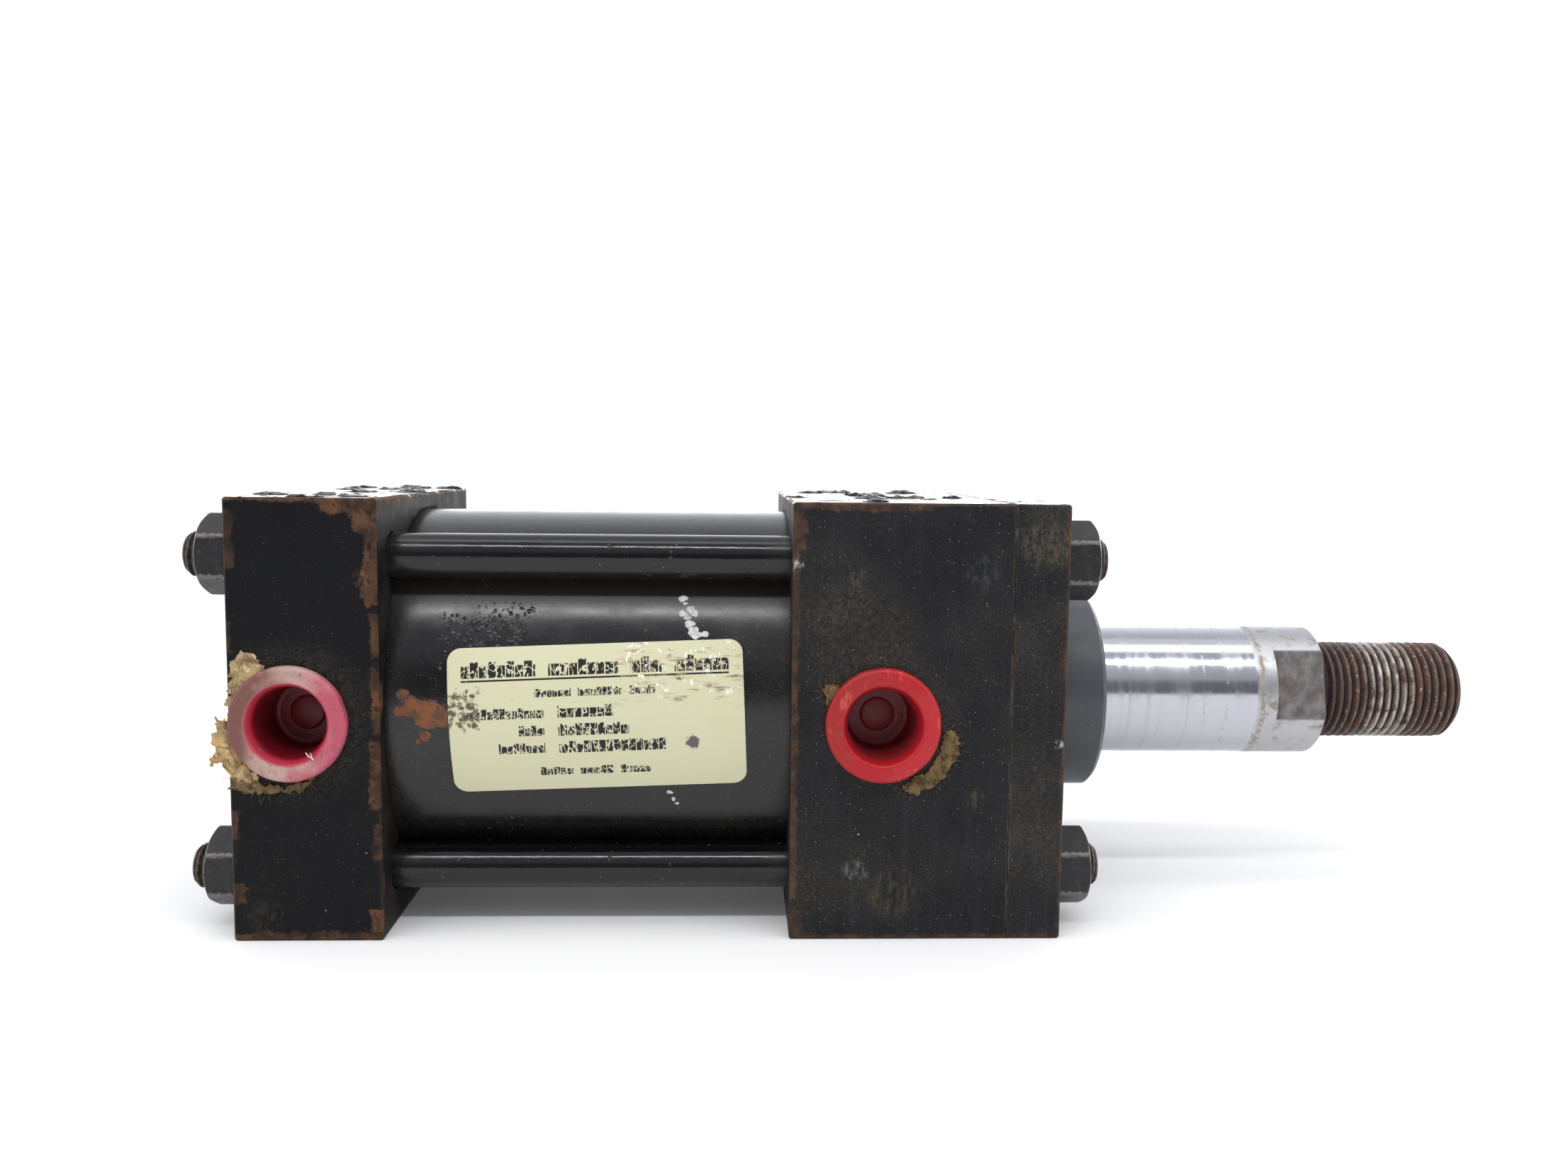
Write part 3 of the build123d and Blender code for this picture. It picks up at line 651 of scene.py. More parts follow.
# Rows of the label: (middle, height, width of a letter, (start, end) of each word)
LABEL_LINES = (
    (9.0, 2.9, 1.55, ((-23.2, -10.4), (-8.2, 4.0), (6.0, 11.4), (13.6, 23.0))),
    (4.7, 1.5, 0.95, ((-10.6, -4.4), (-3.2, 4.4), (5.6, 10.2))),
    (1.3, 1.9, 1.05, ((-23.2, -9.2),)),
    (-1.8, 1.9, 1.05, ((-13.6, -9.2),)),
    (-4.9, 1.9, 1.05, ((-17.2, -9.2),)),
    (1.4, 2.2, 1.3, ((-6.8, 2.8),)),
    (-1.8, 2.2, 1.3, ((-6.8, 5.4),)),
    (-4.9, 2.2, 1.3, ((-6.8, 11.6),)),
    (-9.3, 1.6, 1.15, ((-10.4, -4.6), (-3.4, 2.4), (3.6, 8.8))),
)
LABEL_RULE = (-23.2, 23.0, 7.1 - 0.16, 7.1 + 0.16)


def label_print(s, u, v):
    """Mask of the ink: rows of meaningless strokes in words, and one ruled line."""
    ink = None
    for centre, height, pitch, words in LABEL_LINES:
        stretch = (v - centre) / height + 0.5
        in_row = (stretch - 0.5).size().step(0.5, 0.46)
        cell = (u / pitch).math("FLOOR")
        rise = s.add("ShaderNodeTexWhiteNoise", noise_dimensions="1D")
        s.feed(rise.inputs["W"], cell + centre * 3.0)
        random_height = Signal(s, rise.outputs["Value"])
        cut = (stretch - (random_height.step(0.6, 0.65) * 0.26 + 0.74)).step(0.03, -0.03)
        gap = ((u / pitch).math("FRACT") - 0.5).size().step(0.47, 0.42)
        strokes = s.noise(pitch * 0.62, centre, 1.5, stretch=(1, 1, 0.55), warp=0.3)
        row = in_row * cut * gap * (strokes - 0.5).size().step(0.042, 0.02).inverse()
        row = row * strokes.step(0.2, 0.26)
        spans = None
        for low, high in words:
            span = (u - low).least(-(u - high)).step(-0.03, 0.03)
            spans = span if spans is None else spans.most(span)
        row = row * spans
        ink = row if ink is None else ink.most(row)
    return ink.most(s.inside(*LABEL_RULE, u, v, soft=0.03))


def label_film():
    """Cream label with printed strokes in place of words, dirt and torn spots."""
    s = Surface("label_film", 151, (204, 202, 168), 0.42, specular=0.4)
    angle = s.z.math("ARCTAN2", -s.y)
    arc = angle * TUBE_RADIUS
    du, dv = s.x - LABEL_X, arc - LABEL_ARC
    u = du * math.cos(LABEL_TILT) + dv * math.sin(LABEL_TILT)
    v = dv * math.cos(LABEL_TILT) - du * math.sin(LABEL_TILT)
    ink = label_print(s, u, v)
    s.coat(s.noise(6, 0, 5).step(0.45, 0.75) * 0.5, (205, 198, 160), 0.5)
    worn = s.noise(0.9, 1, 5).step(0.62, 0.7)
    s.coat(ink * (worn * 0.4).inverse(), (20, 19, 20), 0.5)
    scuffed = s.inside(4, 25.5, 3.0, 13.0, u, v, (s.noise(4, 2) - 0.5) * 8, soft=2.0)
    streak = s.noise(1.3, 3, 6, stretch=(0.35, 1, 1.6), roughness=0.65)
    s.coat(scuffed * streak.step(0.52, 0.62) * 0.75, (176, 162, 130), 0.7)
    s.coat(scuffed * streak.step(0.61, 0.66) * 0.9, (112, 92, 72), 0.8)
    white = s.noise(1.1, 4, 5).step(0.6, 0.64)
    s.coat(scuffed * white, (236, 234, 230), 0.6)
    edge_dirt = s.inside(-26, -20.5, -1.5, 5.5, u, v, (s.noise(1.6, 5, 6) - 0.5) * 5)
    s.coat(edge_dirt * s.noise(0.9, 6, 6).step(0.42, 0.58), (92, 84, 66), 0.8)
    torn = s.spot(*LABEL_TEAR, 1.1, u, v, (s.noise(0.7, 7, 4) - 0.5) * 2.4)
    s.coat(torn, (96, 88, 92), 0.7)
    s.coat(s.specks(2.6, 0.14, 0.3) * 0.7, (120, 104, 76), 0.7)
    s.lift(s.noise(2.0, 8, 3) * 0.02)
    s.lift(scuffed * streak * 0.1)
    return s.done()


# ---------- materials: inner parts, floor

def machined(name, colour, rough, seed, metal=1.0):
    """Turned metal with fine marks about the rod axis."""
    s = Surface(name, seed, colour, rough, metal=metal)
    s.rough = s.blend(rough, rough + 0.15, s.noise(4, 0, 4).step(0.35, 0.7))
    s.coat(s.noise(6, 1, 5).step(0.55, 0.8) * 0.3, (90, 80, 66), 0.6)
    s.lift(s.noise(0.4, 2, 2, stretch=(1, 0.03, 0.03)) * 0.01)
    return s.done()


def rubber(name, colour, seed):
    """Matt rubber or gasket with faint bloom."""
    s = Surface(name, seed, colour, 0.62, specular=0.4)
    s.coat(s.noise(2.5, 0, 5).step(0.5, 0.75) * 0.4, (70, 68, 66), 0.8)
    s.lift(s.noise(0.5, 1, 4) * 0.02)
    return s.done()


def floor_white():
    """Plain white table with a faint mottle."""
    s = Surface("floor_white", 161, (231.1, 231.1, 231.1), 0.7, specular=0.2, Emission_Strength=0.05)
    s.coat(s.noise(60, 0, 4).step(0.4, 0.8) * 0.3, (225.9, 225.9, 226.6), 0.75)
    s.lift(s.noise(3, 1, 3) * 0.02)
    return s.done()


# ---------- mesh building

def put(name, data):
    """New object of some data, in the scene."""
    thing = bpy.data.objects.new(name, data)
    bpy.context.scene.collection.objects.link(thing)
    return thing


def new_piece(name, vertices, faces, material, body, replaces=(), origin=(0, 0, 0), sharp=35):
    """Mesh object from points in mm, placed at origin in mm, on a body."""
    mesh = bpy.data.meshes.new(name)
    mesh.from_pydata([Vector(v) * MM for v in vertices], [], faces)
    tidy = bmesh.new()
    tidy.from_mesh(mesh)
    bmesh.ops.recalc_face_normals(tidy, faces=tidy.faces)
    tidy.to_mesh(mesh)
    tidy.free()
    mesh.shade_smooth()
    mesh.set_sharp_from_angle(angle=math.radians(sharp))
    piece = put(name, mesh)
    piece.location = Vector(origin) * MM
    mesh.materials.append(material)
    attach(piece, body)
    if replaces:
        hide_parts(*replaces)
    return piece


def turned(profile, segments, shape):
    """Points and faces of an (x, radius) profile turned about X; shape(x, radius, angle) places a point.

    A profile that starts and ends on the axis is a bar, and any other closes on itself as a ring."""
    vertices, rings = [], []
    for x, radius in profile:
        if radius == 0:
            rings.append([len(vertices)] * segments)
            vertices.append((x, 0, 0))
            continue
        rings.append([len(vertices) + k for k in range(segments)])
        for k in range(segments):
            angle = TAU * k / segments
            px, pr = shape(x, radius, angle)
            vertices.append((px, -pr * math.cos(angle), pr * math.sin(angle)))
    pairs = list(zip(rings, rings[1:]))
    if profile[0][1] > 0:
        pairs.append((rings[-1], rings[0]))
    faces = []
    for first, second in pairs:
        for k in range(segments):
            n = (k + 1) % segments
            corners = [first[k], second[k], second[n], first[n]]
            faces.append(list(dict.fromkeys(corners)))
    return vertices, faces


def towards_port(vertices):
    """Turns points made about X so that +X points out of a port, along -Y."""
    return [(y, -x, z) for x, y, z in vertices]


def steps(start, end, step):
    """Evenly spaced values from start to end, both included, about step apart."""
    count = max(1, round(abs(end - start) / step))
    return [start + (end - start) * k / count for k in range(count + 1)]


def thread_wave(x, angle, pitch):
    """0 in the root and 1 on the crest of a 60 degree thread."""
    phase = (x / pitch - angle / TAU) % 1.0
    ramp = abs(phase - 0.5) * 2
    return min(1.0, max(0.0, (ramp - 0.12) / 0.56))


def lumps(point, size, seed=0.0):
    """Smooth noise about 0 whose lumps are size mm across."""
    return noise.noise(Vector(point) / size + Vector((seed, seed * 1.7, -seed)))


# ---------- blocks with worn edges

EDGE_LINES = (0.0, 0.12, 0.28, 0.5, 0.8, 1.2, 1.8, 2.6)
BLOCK_CELL = 1.5
BLOCK_INSET = 0.02


def block_lines(start, end):
    """Grid lines across a block, closer together near its edges."""
    middle = steps(start + EDGE_LINES[-1], end - EDGE_LINES[-1], BLOCK_CELL)
    low = [start + line for line in EDGE_LINES[:-1]]
    high = [end - line for line in reversed(EDGE_LINES[:-1])]
    return low + middle + high


def worn_block(start, end, seed, joint):
    """Box mesh with uneven rounded edges and a few dents, and crisp edges at the joint."""
    half = HALF_SIDE - BLOCK_INSET
    lines = (
        block_lines(start + BLOCK_INSET, end - BLOCK_INSET),
        block_lines(-half, half),
        block_lines(-half, half),
    )
    last = [len(line) - 1 for line in lines]
    low = Vector([line[0] for line in lines])
    high = Vector([line[-1] for line in lines])
    index, vertices = {}, []

    def corner(key):
        if key not in index:
            index[key] = len(vertices)
            point = Vector([lines[a][key[a]] for a in range(3)])
            vertices.append(worn_point(point, low, high, seed, joint))
        return index[key]

    faces = []
    for axis in range(3):
        first, second = (axis + 1) % 3, (axis + 2) % 3
        for side in (0, last[axis]):
            for i in range(last[first]):
                for j in range(last[second]):
                    face = []
                    for di, dj in ((0, 0), (1, 0), (1, 1), (0, 1)):
                        key = [0, 0, 0]
                        key[axis], key[first], key[second] = side, i + di, j + dj
                        face.append(corner(tuple(key)))
                    faces.append(face)
    return vertices, faces


def worn_point(point, low, high, seed, joint):
    """A point of the box's skin, pulled onto an edge round whose radius varies along the edge."""
    crisp = 1.0 if joint is None else min(1.0, 0.25 + abs(point.x - joint) / 3.0)
    rough = 0.5 + 0.5 * lumps(point, 2.3, seed)
    dent = max(0.0, lumps(point, 5.0, seed + 4.0) - 0.28)
    radius = (0.28 + 0.3 * rough * rough + 0.7 * dent) * crisp
    core = Vector([min(max(point[a], low[a] + radius), high[a] - radius) for a in range(3)])
    away = point - core
    if away.length < 1e-6:
        return point
    return core + away.normalized() * radius


def cad_copy(node):
    """Closed copy of a CAD node's mesh, used only to cut with."""
    mesh = NODES[node].data.copy()
    weld = bmesh.new()
    weld.from_mesh(mesh)
    bmesh.ops.remove_doubles(weld, verts=weld.verts, dist=1e-6)
    bmesh.ops.recalc_face_normals(weld, faces=weld.faces)
    weld.to_mesh(mesh)
    weld.free()
    return put("tool_" + node, mesh)


def make_block(name, start, end, seed, material, joint=None):
    """Worn block with the holes of its CAD node, crisp where it meets another at joint."""
    vertices, faces = worn_block(start, end, seed, joint)
    piece = new_piece(name + "_body", vertices, faces, material, "barrel", (name,))
    tool = cad_copy(name)
    cut = piece.modifiers.new("holes", "BOOLEAN")
    cut.operation = "INTERSECT"
    cut.solver = "EXACT"
    cut.object = tool
    apply_modifiers(piece)
    bpy.data.objects.remove(tool)
    piece.data.set_sharp_from_angle(angle=math.radians(38))
    return piece


def apply_modifiers(piece):
    """Turns a piece's modifiers into plain mesh."""
    graph = bpy.context.evaluated_depsgraph_get()
    done = bpy.data.meshes.new_from_object(piece.evaluated_get(graph))
    piece.modifiers.clear()
    piece.data = done


# Wear, marks and haze of the front faces, in the forms that block_paint takes
CAP_PATCHES = (
    (-127.2, -117.0, 35.6, 38.8, 0.8),
    (-121.8, -117.0, 32.4, 38.8, 0.85),
    (-119.7, -117.0, 19.5, 33.0, 0.7),
    (-118.7, -117.0, 11.0, 18.6, 0.75),
    (-118.8, -117.0, -2.0, 9.6, 0.8),
    (-119.4, -117.0, -14.9, -3.0, 0.85),
    (-119.0, -117.0, -24.0, -17.6, 0.75),
    (-119.6, -117.0, -38.8, -32.6, 1.0),
    (-143.3, -141.1, 26.5, 36.2, 0.42),
    (-143.3, -142.0, 12.0, 17.0, 0.5),
    (-143.3, -141.6, -20.0, -15.5, 0.6),
    (-143.3, -140.6, -31.5, -27.4, 0.7),
    (-143.3, -117.0, -38.8, -36.5, 0.7),
    (-143.3, -117.0, 37.5, 38.8, 0.85),
)
HEAD_PATCHES = (
    (-48.2, -46.5, -31.0, 38.8, 0.55),
    (-47.8, -45.6, 30.0, 38.8, 0.5),
    (-47.8, -24.0, 36.7, 38.8, 0.65),
    (-26.0, -9.0, 37.6, 38.8, 0.4),
    (-48.2, -9.0, -38.8, -37.3, 0.5),
    (-48.2, -45.6, -38.8, -33.0, 0.5),
)
PLATE_PATCHES = (
    (-0.7, 0.6, -38.8, 38.8, 0.5),
    (-9.8, 0.6, -38.8, -37.2, 0.5),
)
HEAD_MARKS = (
    (-36.3, -26.1, 2.0, (140, 146, 140), 0.35),
    (-29.6, -29.8, 4.4, (104, 94, 64), 0.25),
    (-15.7, -13.1, 1.6, (86, 70, 44), 0.6),
    (-46.9, 27.6, 1.1, (180, 178, 162), 0.8),
    (-36.6, 25.2, 1.4, (92, 74, 56), 0.5),
    (-15.0, 26.4, 3.0, (84, 86, 84), 0.3),
)
CAP_MARKS = (
    (-120.2, 24.5, 1.2, (128, 96, 72), 0.4),
    (-137.6, -33.8, 3.0, (66, 60, 48), 0.4),
)
PLATE_MARKS = (
    (-4.6, 31.0, 4.0, (112, 100, 80), 0.3),
    (-1.0, -3.5, 0.7, WHITE_SPECK, 0.6),
    (-3.4, -12.0, 3.4, (70, 60, 46), 0.35),
)
CAP_HAZE = ((CAP_PORT_X + 0.5, 0, 12.0, 0.3),)
HEAD_HAZE = (
    (HEAD_PORT_X + 1.0, 0, 10.8, 0.3),
    (HEAD_PORT_X - 4.0, 14.0, 10.0, 0.22),
    (-42.0, 24.0, 8.0, 0.12),
)
PLATE_HAZE = ((-3.0, 33.0, 6.0, 0.3), (-3.6, 14.0, 8.0, 0.15), (-5.0, -16.0, 14.0, 0.15))


def make_blocks():
    """Cap, head and the plate on the head; head and plate stay crisp where they meet. The cap's darker paint
    and the plate's heavier dust are painted shade and painted light, the fronts growing lighter from the cap
    towards the plate.
    """
    # The cap's darker paint and its small share of dust (0.15) are painted shade.
    cap = block_paint(
        "cap_black", CAP_BACK, CAP_FACE, 11, CAP_PATCHES, CAP_MARKS, CAP_HAZE, 0.15, CAP_PAINT_SHADED, 0.13,
    )
    head = block_paint("head_black", HEAD_FACE, PLATE_BACK, 13, HEAD_PATCHES, HEAD_MARKS, HEAD_HAZE)
    # The plate's large share of dust (1.7) is partly real dust and partly painted light, the fronts growing
    # lighter towards the plate.
    plate = block_paint(
        "plate_black", PLATE_BACK, PLATE_FACE, 17, PLATE_PATCHES, PLATE_MARKS, PLATE_HAZE, 1.7,
    )
    make_block("cap", CAP_BACK, CAP_FACE, 2.3, cap)
    make_block("head", HEAD_FACE, PLATE_BACK, 5.9, head, PLATE_BACK)
    make_block("retainer_plate", PLATE_BACK, PLATE_FACE, 8.1, plate, PLATE_BACK)


# ---------- tube, tie rods, nuts

TUBE_WALL = 3.175
BLISTER_X, BLISTER_WIDTH = -100.2, 7.5
BLISTER_DEGREES, BLISTER_SPREAD = 27, 9


def make_tube():
    """Tube with a faintly uneven skin and blistered paint at one spot in front."""
    low, high = box_mm("tube")
    bore = high.z - TUBE_WALL

    def shape(x, radius, angle):
        if radius < TUBE_RADIUS - 1:
            return x, radius
        point = (x, radius * math.cos(angle), radius * math.sin(angle))
        blister = max(0.0, lumps(point, 1.6, 3.0) - 0.25) * 0.25
        turn = (math.degrees(angle) - BLISTER_DEGREES) / BLISTER_SPREAD
        area = math.exp(-((x - BLISTER_X) / BLISTER_WIDTH) ** 2 - turn ** 2)
        return x, radius - 0.012 * lumps(point, 9, 1.0) ** 2 + blister * area

    outer = [(x, TUBE_RADIUS) for x in steps(low.x, high.x, 0.7)]
    profile = outer + [(high.x, bore), (low.x, bore)]
    vertices, faces = turned(profile, 288, shape)
    new_piece("tube_shell", vertices, faces, tube_paint(), "barrel", ("tube",))


TIE_ROD_THREAD_PITCH = 25.4 / 24
TIE_ROD_THREAD_DEPTH = 0.62
TIE_ROD_THREAD_RUN = 13.0
TIE_ROD_TIP = 0.9


def make_tie_rod(corner, material):
    """Bar threaded at both ends, with rounded tips."""
    node = "tie_rod_" + corner
    low, high = box_mm(node)
    centre = (low + high) / 2
    radius = (high.z - low.z) / 2

    def shape(x, r, angle):
        from_end = min(x - low.x, high.x - x)
        if from_end > TIE_ROD_THREAD_RUN or r < radius * 0.7:
            return x, r
        fade = min(1.0, (TIE_ROD_THREAD_RUN - from_end) / 1.5)
        cut = TIE_ROD_THREAD_DEPTH * (1 - thread_wave(x, angle, TIE_ROD_THREAD_PITCH))
        worn = 0.05 * max(0.0, lumps((x, r * math.cos(angle), r * math.sin(angle)), 1.1, centre.z))
        limit = radius - max(0.0, TIE_ROD_TIP - from_end) * 0.9
        return x, min(r - cut * fade - worn, limit)

    fine = TIE_ROD_THREAD_PITCH / 10
    run = TIE_ROD_THREAD_RUN
    places = steps(low.x, low.x + run, fine) + steps(low.x + run, high.x - run, 2.0)[1:]
    places += steps(high.x - run, high.x, fine)[1:]
    profile = [(low.x, 0), (low.x, radius * 0.68)] + [(x, radius) for x in places]
    profile += [(high.x, radius * 0.68), (high.x, 0)]
    vertices, faces = turned(profile, 48, shape)
    name = "tie_rod_bar_" + corner
    origin = (0, centre.y, centre.z)
    new_piece(name, vertices, faces, material, "barrel", (node,), origin)


NUT_BORE = 3.99
NUT_CHAMFER_SLOPE = math.tan(math.radians(60))
NUT_LINES = (
    0, 0.02, 0.05, 0.09, 0.14, 0.25, 0.4, 0.52, 0.6, 0.66, 0.72, 0.78, 0.83, 0.88, 0.92, 0.95, 0.975, 0.99, 1,
)


def make_nut(node, material):
    """Chamfered hexagon nut, its bore threaded onto the bar; flats face front and back."""
    low, high = box_mm(node)
    centre = (low + high) / 2
    half = (high.x - low.x) / 2
    flat_radius = (high.y - low.y) / 2
    outward = -1 if centre.x < CAP_FACE else 1

    def shape(x, radius, angle):
        if radius < flat_radius * 0.7:
            return x, radius
        around = (angle + TAU / 12) % (TAU / 6) - TAU / 12
        hexagon = flat_radius / math.cos(around)
        from_face = half - outward * x
        outer_cone = flat_radius * 0.955 + from_face * NUT_CHAMFER_SLOPE
        inner_cone = flat_radius * 1.06 + (2 * half - from_face) * NUT_CHAMFER_SLOPE
        limit = min(outer_cone, inner_cone, flat_radius * 1.132)
        soft = 0.12
        blend = min(1.0, max(0.0, 0.5 + 0.5 * (limit - hexagon) / soft))
        value = limit * (1 - blend) + hexagon * blend - soft * blend * (1 - blend)
        return x, min(radius, value) if radius < flat_radius * 0.9 else value

    inner, face = -outward * half, outward * half
    profile = [(inner, NUT_BORE), (inner, flat_radius * 0.85)]
    profile += [(inner + (face - inner) * t, flat_radius) for t in NUT_LINES]
    profile += [(face, flat_radius * 0.85), (face, NUT_BORE + 0.35), (face - outward * 0.35, NUT_BORE)]
    vertices, faces = turned(profile, 144, shape)
    name = node + "_hex"
    new_piece(name, vertices, faces, material, "barrel", (node,), tuple(centre), sharp=50)


def make_fasteners():
    """Four tie rods, with a nut at each end."""
    rod_material = tie_rod_paint()
    nut_material = nut_paint()
    for corner in CORNERS:
        make_tie_rod(corner, rod_material)
        make_nut("cap_nut_" + corner, nut_material)
        make_nut("plate_nut_" + corner, nut_material)


# ---------- rod end stud

STUD_PITCH = 25.4 / 16
STUD_THREAD_DEPTH = 0.86
STUD_CORE = 8.2
STUD_RELIEF = 1.1
STUD_CHAMFER = 1.5


def make_stud():
    """Threaded end with a dark relief at the rod's shoulder and a worn, chamfered tip."""
    low, high = box_mm("rod_end_stud")

    def shape(x, radius, angle):
        if x < SHOULDER or radius < STUD_CORE * 0.8:
            return x, radius
        point = (x, radius * math.cos(angle), radius * math.sin(angle))
        fade = min(1.0, max(0.0, (x - SHOULDER - STUD_RELIEF) / 1.2))
        cut = STUD_THREAD_DEPTH * (1 - thread_wave(x, angle, STUD_PITCH))
        worn = 0.10 * max(0.0, lumps(point, 1.3, 2.0)) + 0.10 * max(0.0, lumps(point, 4.0, 6.0))
        full = STUD_RADIUS - cut - worn
        limit = STUD_RADIUS - max(0.0, STUD_CHAMFER - (high.x - x))
        return x, min(STUD_CORE + (full - STUD_CORE) * fade, limit)

    rows = [(x, STUD_RADIUS) for x in steps(SHOULDER + 0.02, high.x, STUD_PITCH / 14)]
    profile = [(low.x, 0), (low.x, STUD_CORE), (SHOULDER, STUD_CORE)] + rows
    profile += [(high.x, STUD_CORE * 0.7), (high.x, 0)]
    vertices, faces = turned(profile, 120, shape)
    new_piece("stud_thread", vertices, faces, stud_rust(), "rod", ("rod_end_stud",))


# ---------- port plugs

# Stretches of the plug's outline, as (out, radius) from the place that each is measured from.
PLUG_CUP_FLOOR = ((1.3, 0), (1.3, 2.6), (1.15, 3.0), (1.0, 3.1), (1.0, 5.2), (1.4, 5.7))
PLUG_FLANGE = (
    (-4.6, 5.95), (-2.9, 6.0), (-2.3, 6.1), (-2.0, 6.3), (-0.5, 6.75), (-0.22, 6.84), (-0.05, 7.05),
    (0, 7.35), (0, 8.3), (-0.02, 9.2), (-0.12, 9.62), (-0.38, 9.88), (-0.75, 10.0), (-1.6, 10.0),
    (-2.05, 9.9), (-2.18, 9.7), (-2.18, 7.8),
)
PLUG_WALL = ((-0.2, 7.78), (-4.0, 7.65), (-8.0, 7.5))
PLUG_TIP = ((0.6, 7.35), (0.15, 7.1), (0, 6.7), (0, 0))


def make_plug(node, port_x, material, seed, wear):
    """Plug with a cup, a flange and a few nicks, standing out of its port."""
    low, high = box_mm(node)
    flange_front = -low.y - HALF_SIDE
    tip = -high.y - HALF_SIDE

    def shape(out, radius, angle):
        point = (out, radius * math.cos(angle), radius * math.sin(angle))
        nick = max(0.0, lumps(point, 2.6, seed) - 0.3)
        if radius > 9.0 and out > 0:
            return out - wear * 0.25 * nick, radius - wear * 0.6 * nick - wear * 0.06
        if 6.0 < radius < 9.0 and out > 0:
            return out - wear * 0.3 * nick - 0.02, radius + 0.05 * wear * lumps(point, 3.0, seed)
        return out, radius

    stretches = ((tip, PLUG_CUP_FLOOR), (flange_front, PLUG_FLANGE), (0, PLUG_WALL), (tip, PLUG_TIP))
    profile = [(start + out, radius) for start, stretch in stretches for out, radius in stretch]
    vertices, faces = turned(refine(profile, 0.45), 120, shape)
    placed = towards_port(vertices)
    origin = (port_x, -HALF_SIDE, 0)
    new_piece(node + "_moulding", placed, faces, material, node, (node,), origin, sharp=50)


def refine(profile, step):
    """The same profile with long runs divided."""
    finer = [profile[0]]
    for (x0, r0), (x1, r1) in zip(profile, profile[1:]):
        count = max(1, math.ceil(math.hypot(x1 - x0, r1 - r0) / step))
        if r0 == 0 or r1 == 0:
            count = 1
        finer += [(x0 + (x1 - x0) * k / count, r0 + (r1 - r0) * k / count) for k in range(1, count + 1)]
    return finer


def make_plugs():
    """Red plug in the head, faded one with two shreds in the cap."""
    # The fourth colour of each plug is the painted shade in its cup, and the last number sets both its dirt
    # and its painted shade.
    red = plug_plastic(
        "plug_red_plastic", 111, (168, 17, 25), (176, 32, 38), (158, 18, 28), (118, 28, 34), 0.25,
    )
    faded = plug_plastic(
        "plug_faded_plastic", 115, (178, 148, 138), (178, 78, 98), (172, 28, 48), (96, 14, 22), 0.9,
    )
    make_plug("head_port_plug", HEAD_PORT_X, red, 4.0, 0.5)
    make_plug("cap_port_plug", CAP_PORT_X, faded, 9.0, 1.4)

    def over_flange(u, v, height):
        return (CAP_PORT_X + u, -HALF_SIDE - 2.1 - height, v)

    shreds = [(4.4, -5.9, 2.2), (4.6, -5.7, 2.6)]
    white = white_paint_spot()
    fibres("plug_shreds", shreds, over_flange, white, "cap_port_plug", 3, 1.9, 0.11)


# ---------- thin things stuck on

def on_front(u, v, height):
    """Place on the blocks' front face: u is x, v is z."""
    return (u, -HALF_SIDE - height, v)


def on_top(u, v, height):
    """Place on the blocks' top face: u is x, v is y."""
    return (u, v, HALF_SIDE + height)


def on_tube(u, v, height):
    """Place on the tube: u is x, v the arc from the front towards the top."""
    radius = TUBE_RADIUS + height
    angle = v / TUBE_RADIUS
    return (u, -radius * math.cos(angle), radius * math.sin(angle))


def torn_outline(points, seed, roughness, samples=110):
    """Closed smooth curve through given points with a torn edge."""
    count = len(points)
    outline = []
    for k in range(samples):
        t = k / samples * count
        i, f = int(t), t - int(t)
        p0, p1, p2, p3 = (Vector(points[(i + d) % count]) for d in (-1, 0, 1, 2))
        spline = 0.5 * (
            2 * p1 + (p2 - p0) * f + (2 * p0 - 5 * p1 + 4 * p2 - p3) * f * f
            + (3 * p1 - p0 - 3 * p2 + p3) * f ** 3
        )
        tear = Vector((
            lumps((spline.x, spline.y, 0), 0.9, seed) + 0.6 * lumps((spline.x, spline.y, 0), 0.35, seed),
            lumps((spline.y, spline.x, 4), 0.9, seed) + 0.6 * lumps((spline.y, spline.x, 4), 0.35, seed),
        ))
        outline.append(spline + tear * roughness)
    return outline


def torn_sheet(
    points, place, seed, thickness, relief=0.0, tear=0.5, cell=0.5, dome=False, lift=0.01, fold=1.7,
):
    """Points and faces of a thin torn sheet, lift above the surface, crumpled by relief in folds."""
    outline = torn_outline(points, seed, tear)
    low_u, high_u = min(p.x for p in outline), max(p.x for p in outline)
    low_v, high_v = min(p.y for p in outline), max(p.y for p in outline)
    chooser = random.Random(seed)
    flat = list(outline)
    for u in steps(low_u, high_u, cell):
        for v in steps(low_v, high_v, cell):
            spot = Vector((u + chooser.uniform(-0.3, 0.3) * cell, v + chooser.uniform(-0.3, 0.3) * cell))
            if inside_outline(spot, outline) and from_outline(spot, outline) > cell * 0.35:
                flat.append(spot)
    ring = [(k, (k + 1) % len(outline)) for k in range(len(outline))]
    flat, _, triangles, _, _, _ = geometry.delaunay_2d_cdt(flat, ring, [], 1, 1e-5)
    top, bottom = [], []
    for p in flat:
        inward = min(1.0, from_outline(p, outline) / 1.2)
        folded = lumps((p.x, p.y, seed), fold, seed) + 0.35 * lumps((p.x, p.y, 1), fold * 0.35, seed)
        rise = max(0.0, relief * (0.5 + folded)) * (inward ** 0.5)
        body_thickness = thickness * (inward if dome else 1.0) + 0.02
        bottom.append(place(p.x, p.y, lift + (0.0 if dome else rise)))
        top.append(place(p.x, p.y, lift + rise + body_thickness))
    count = len(flat)
    faces = [list(t) for t in triangles] + [[i + count for i in reversed(t)] for t in triangles]
    edges = dict.fromkeys((a, b) for t in triangles for a, b in zip(t, (*t[1:], t[0])))
    faces += [[b, a, a + count, b + count] for a, b in edges if (b, a) not in edges]
    return top + bottom, faces


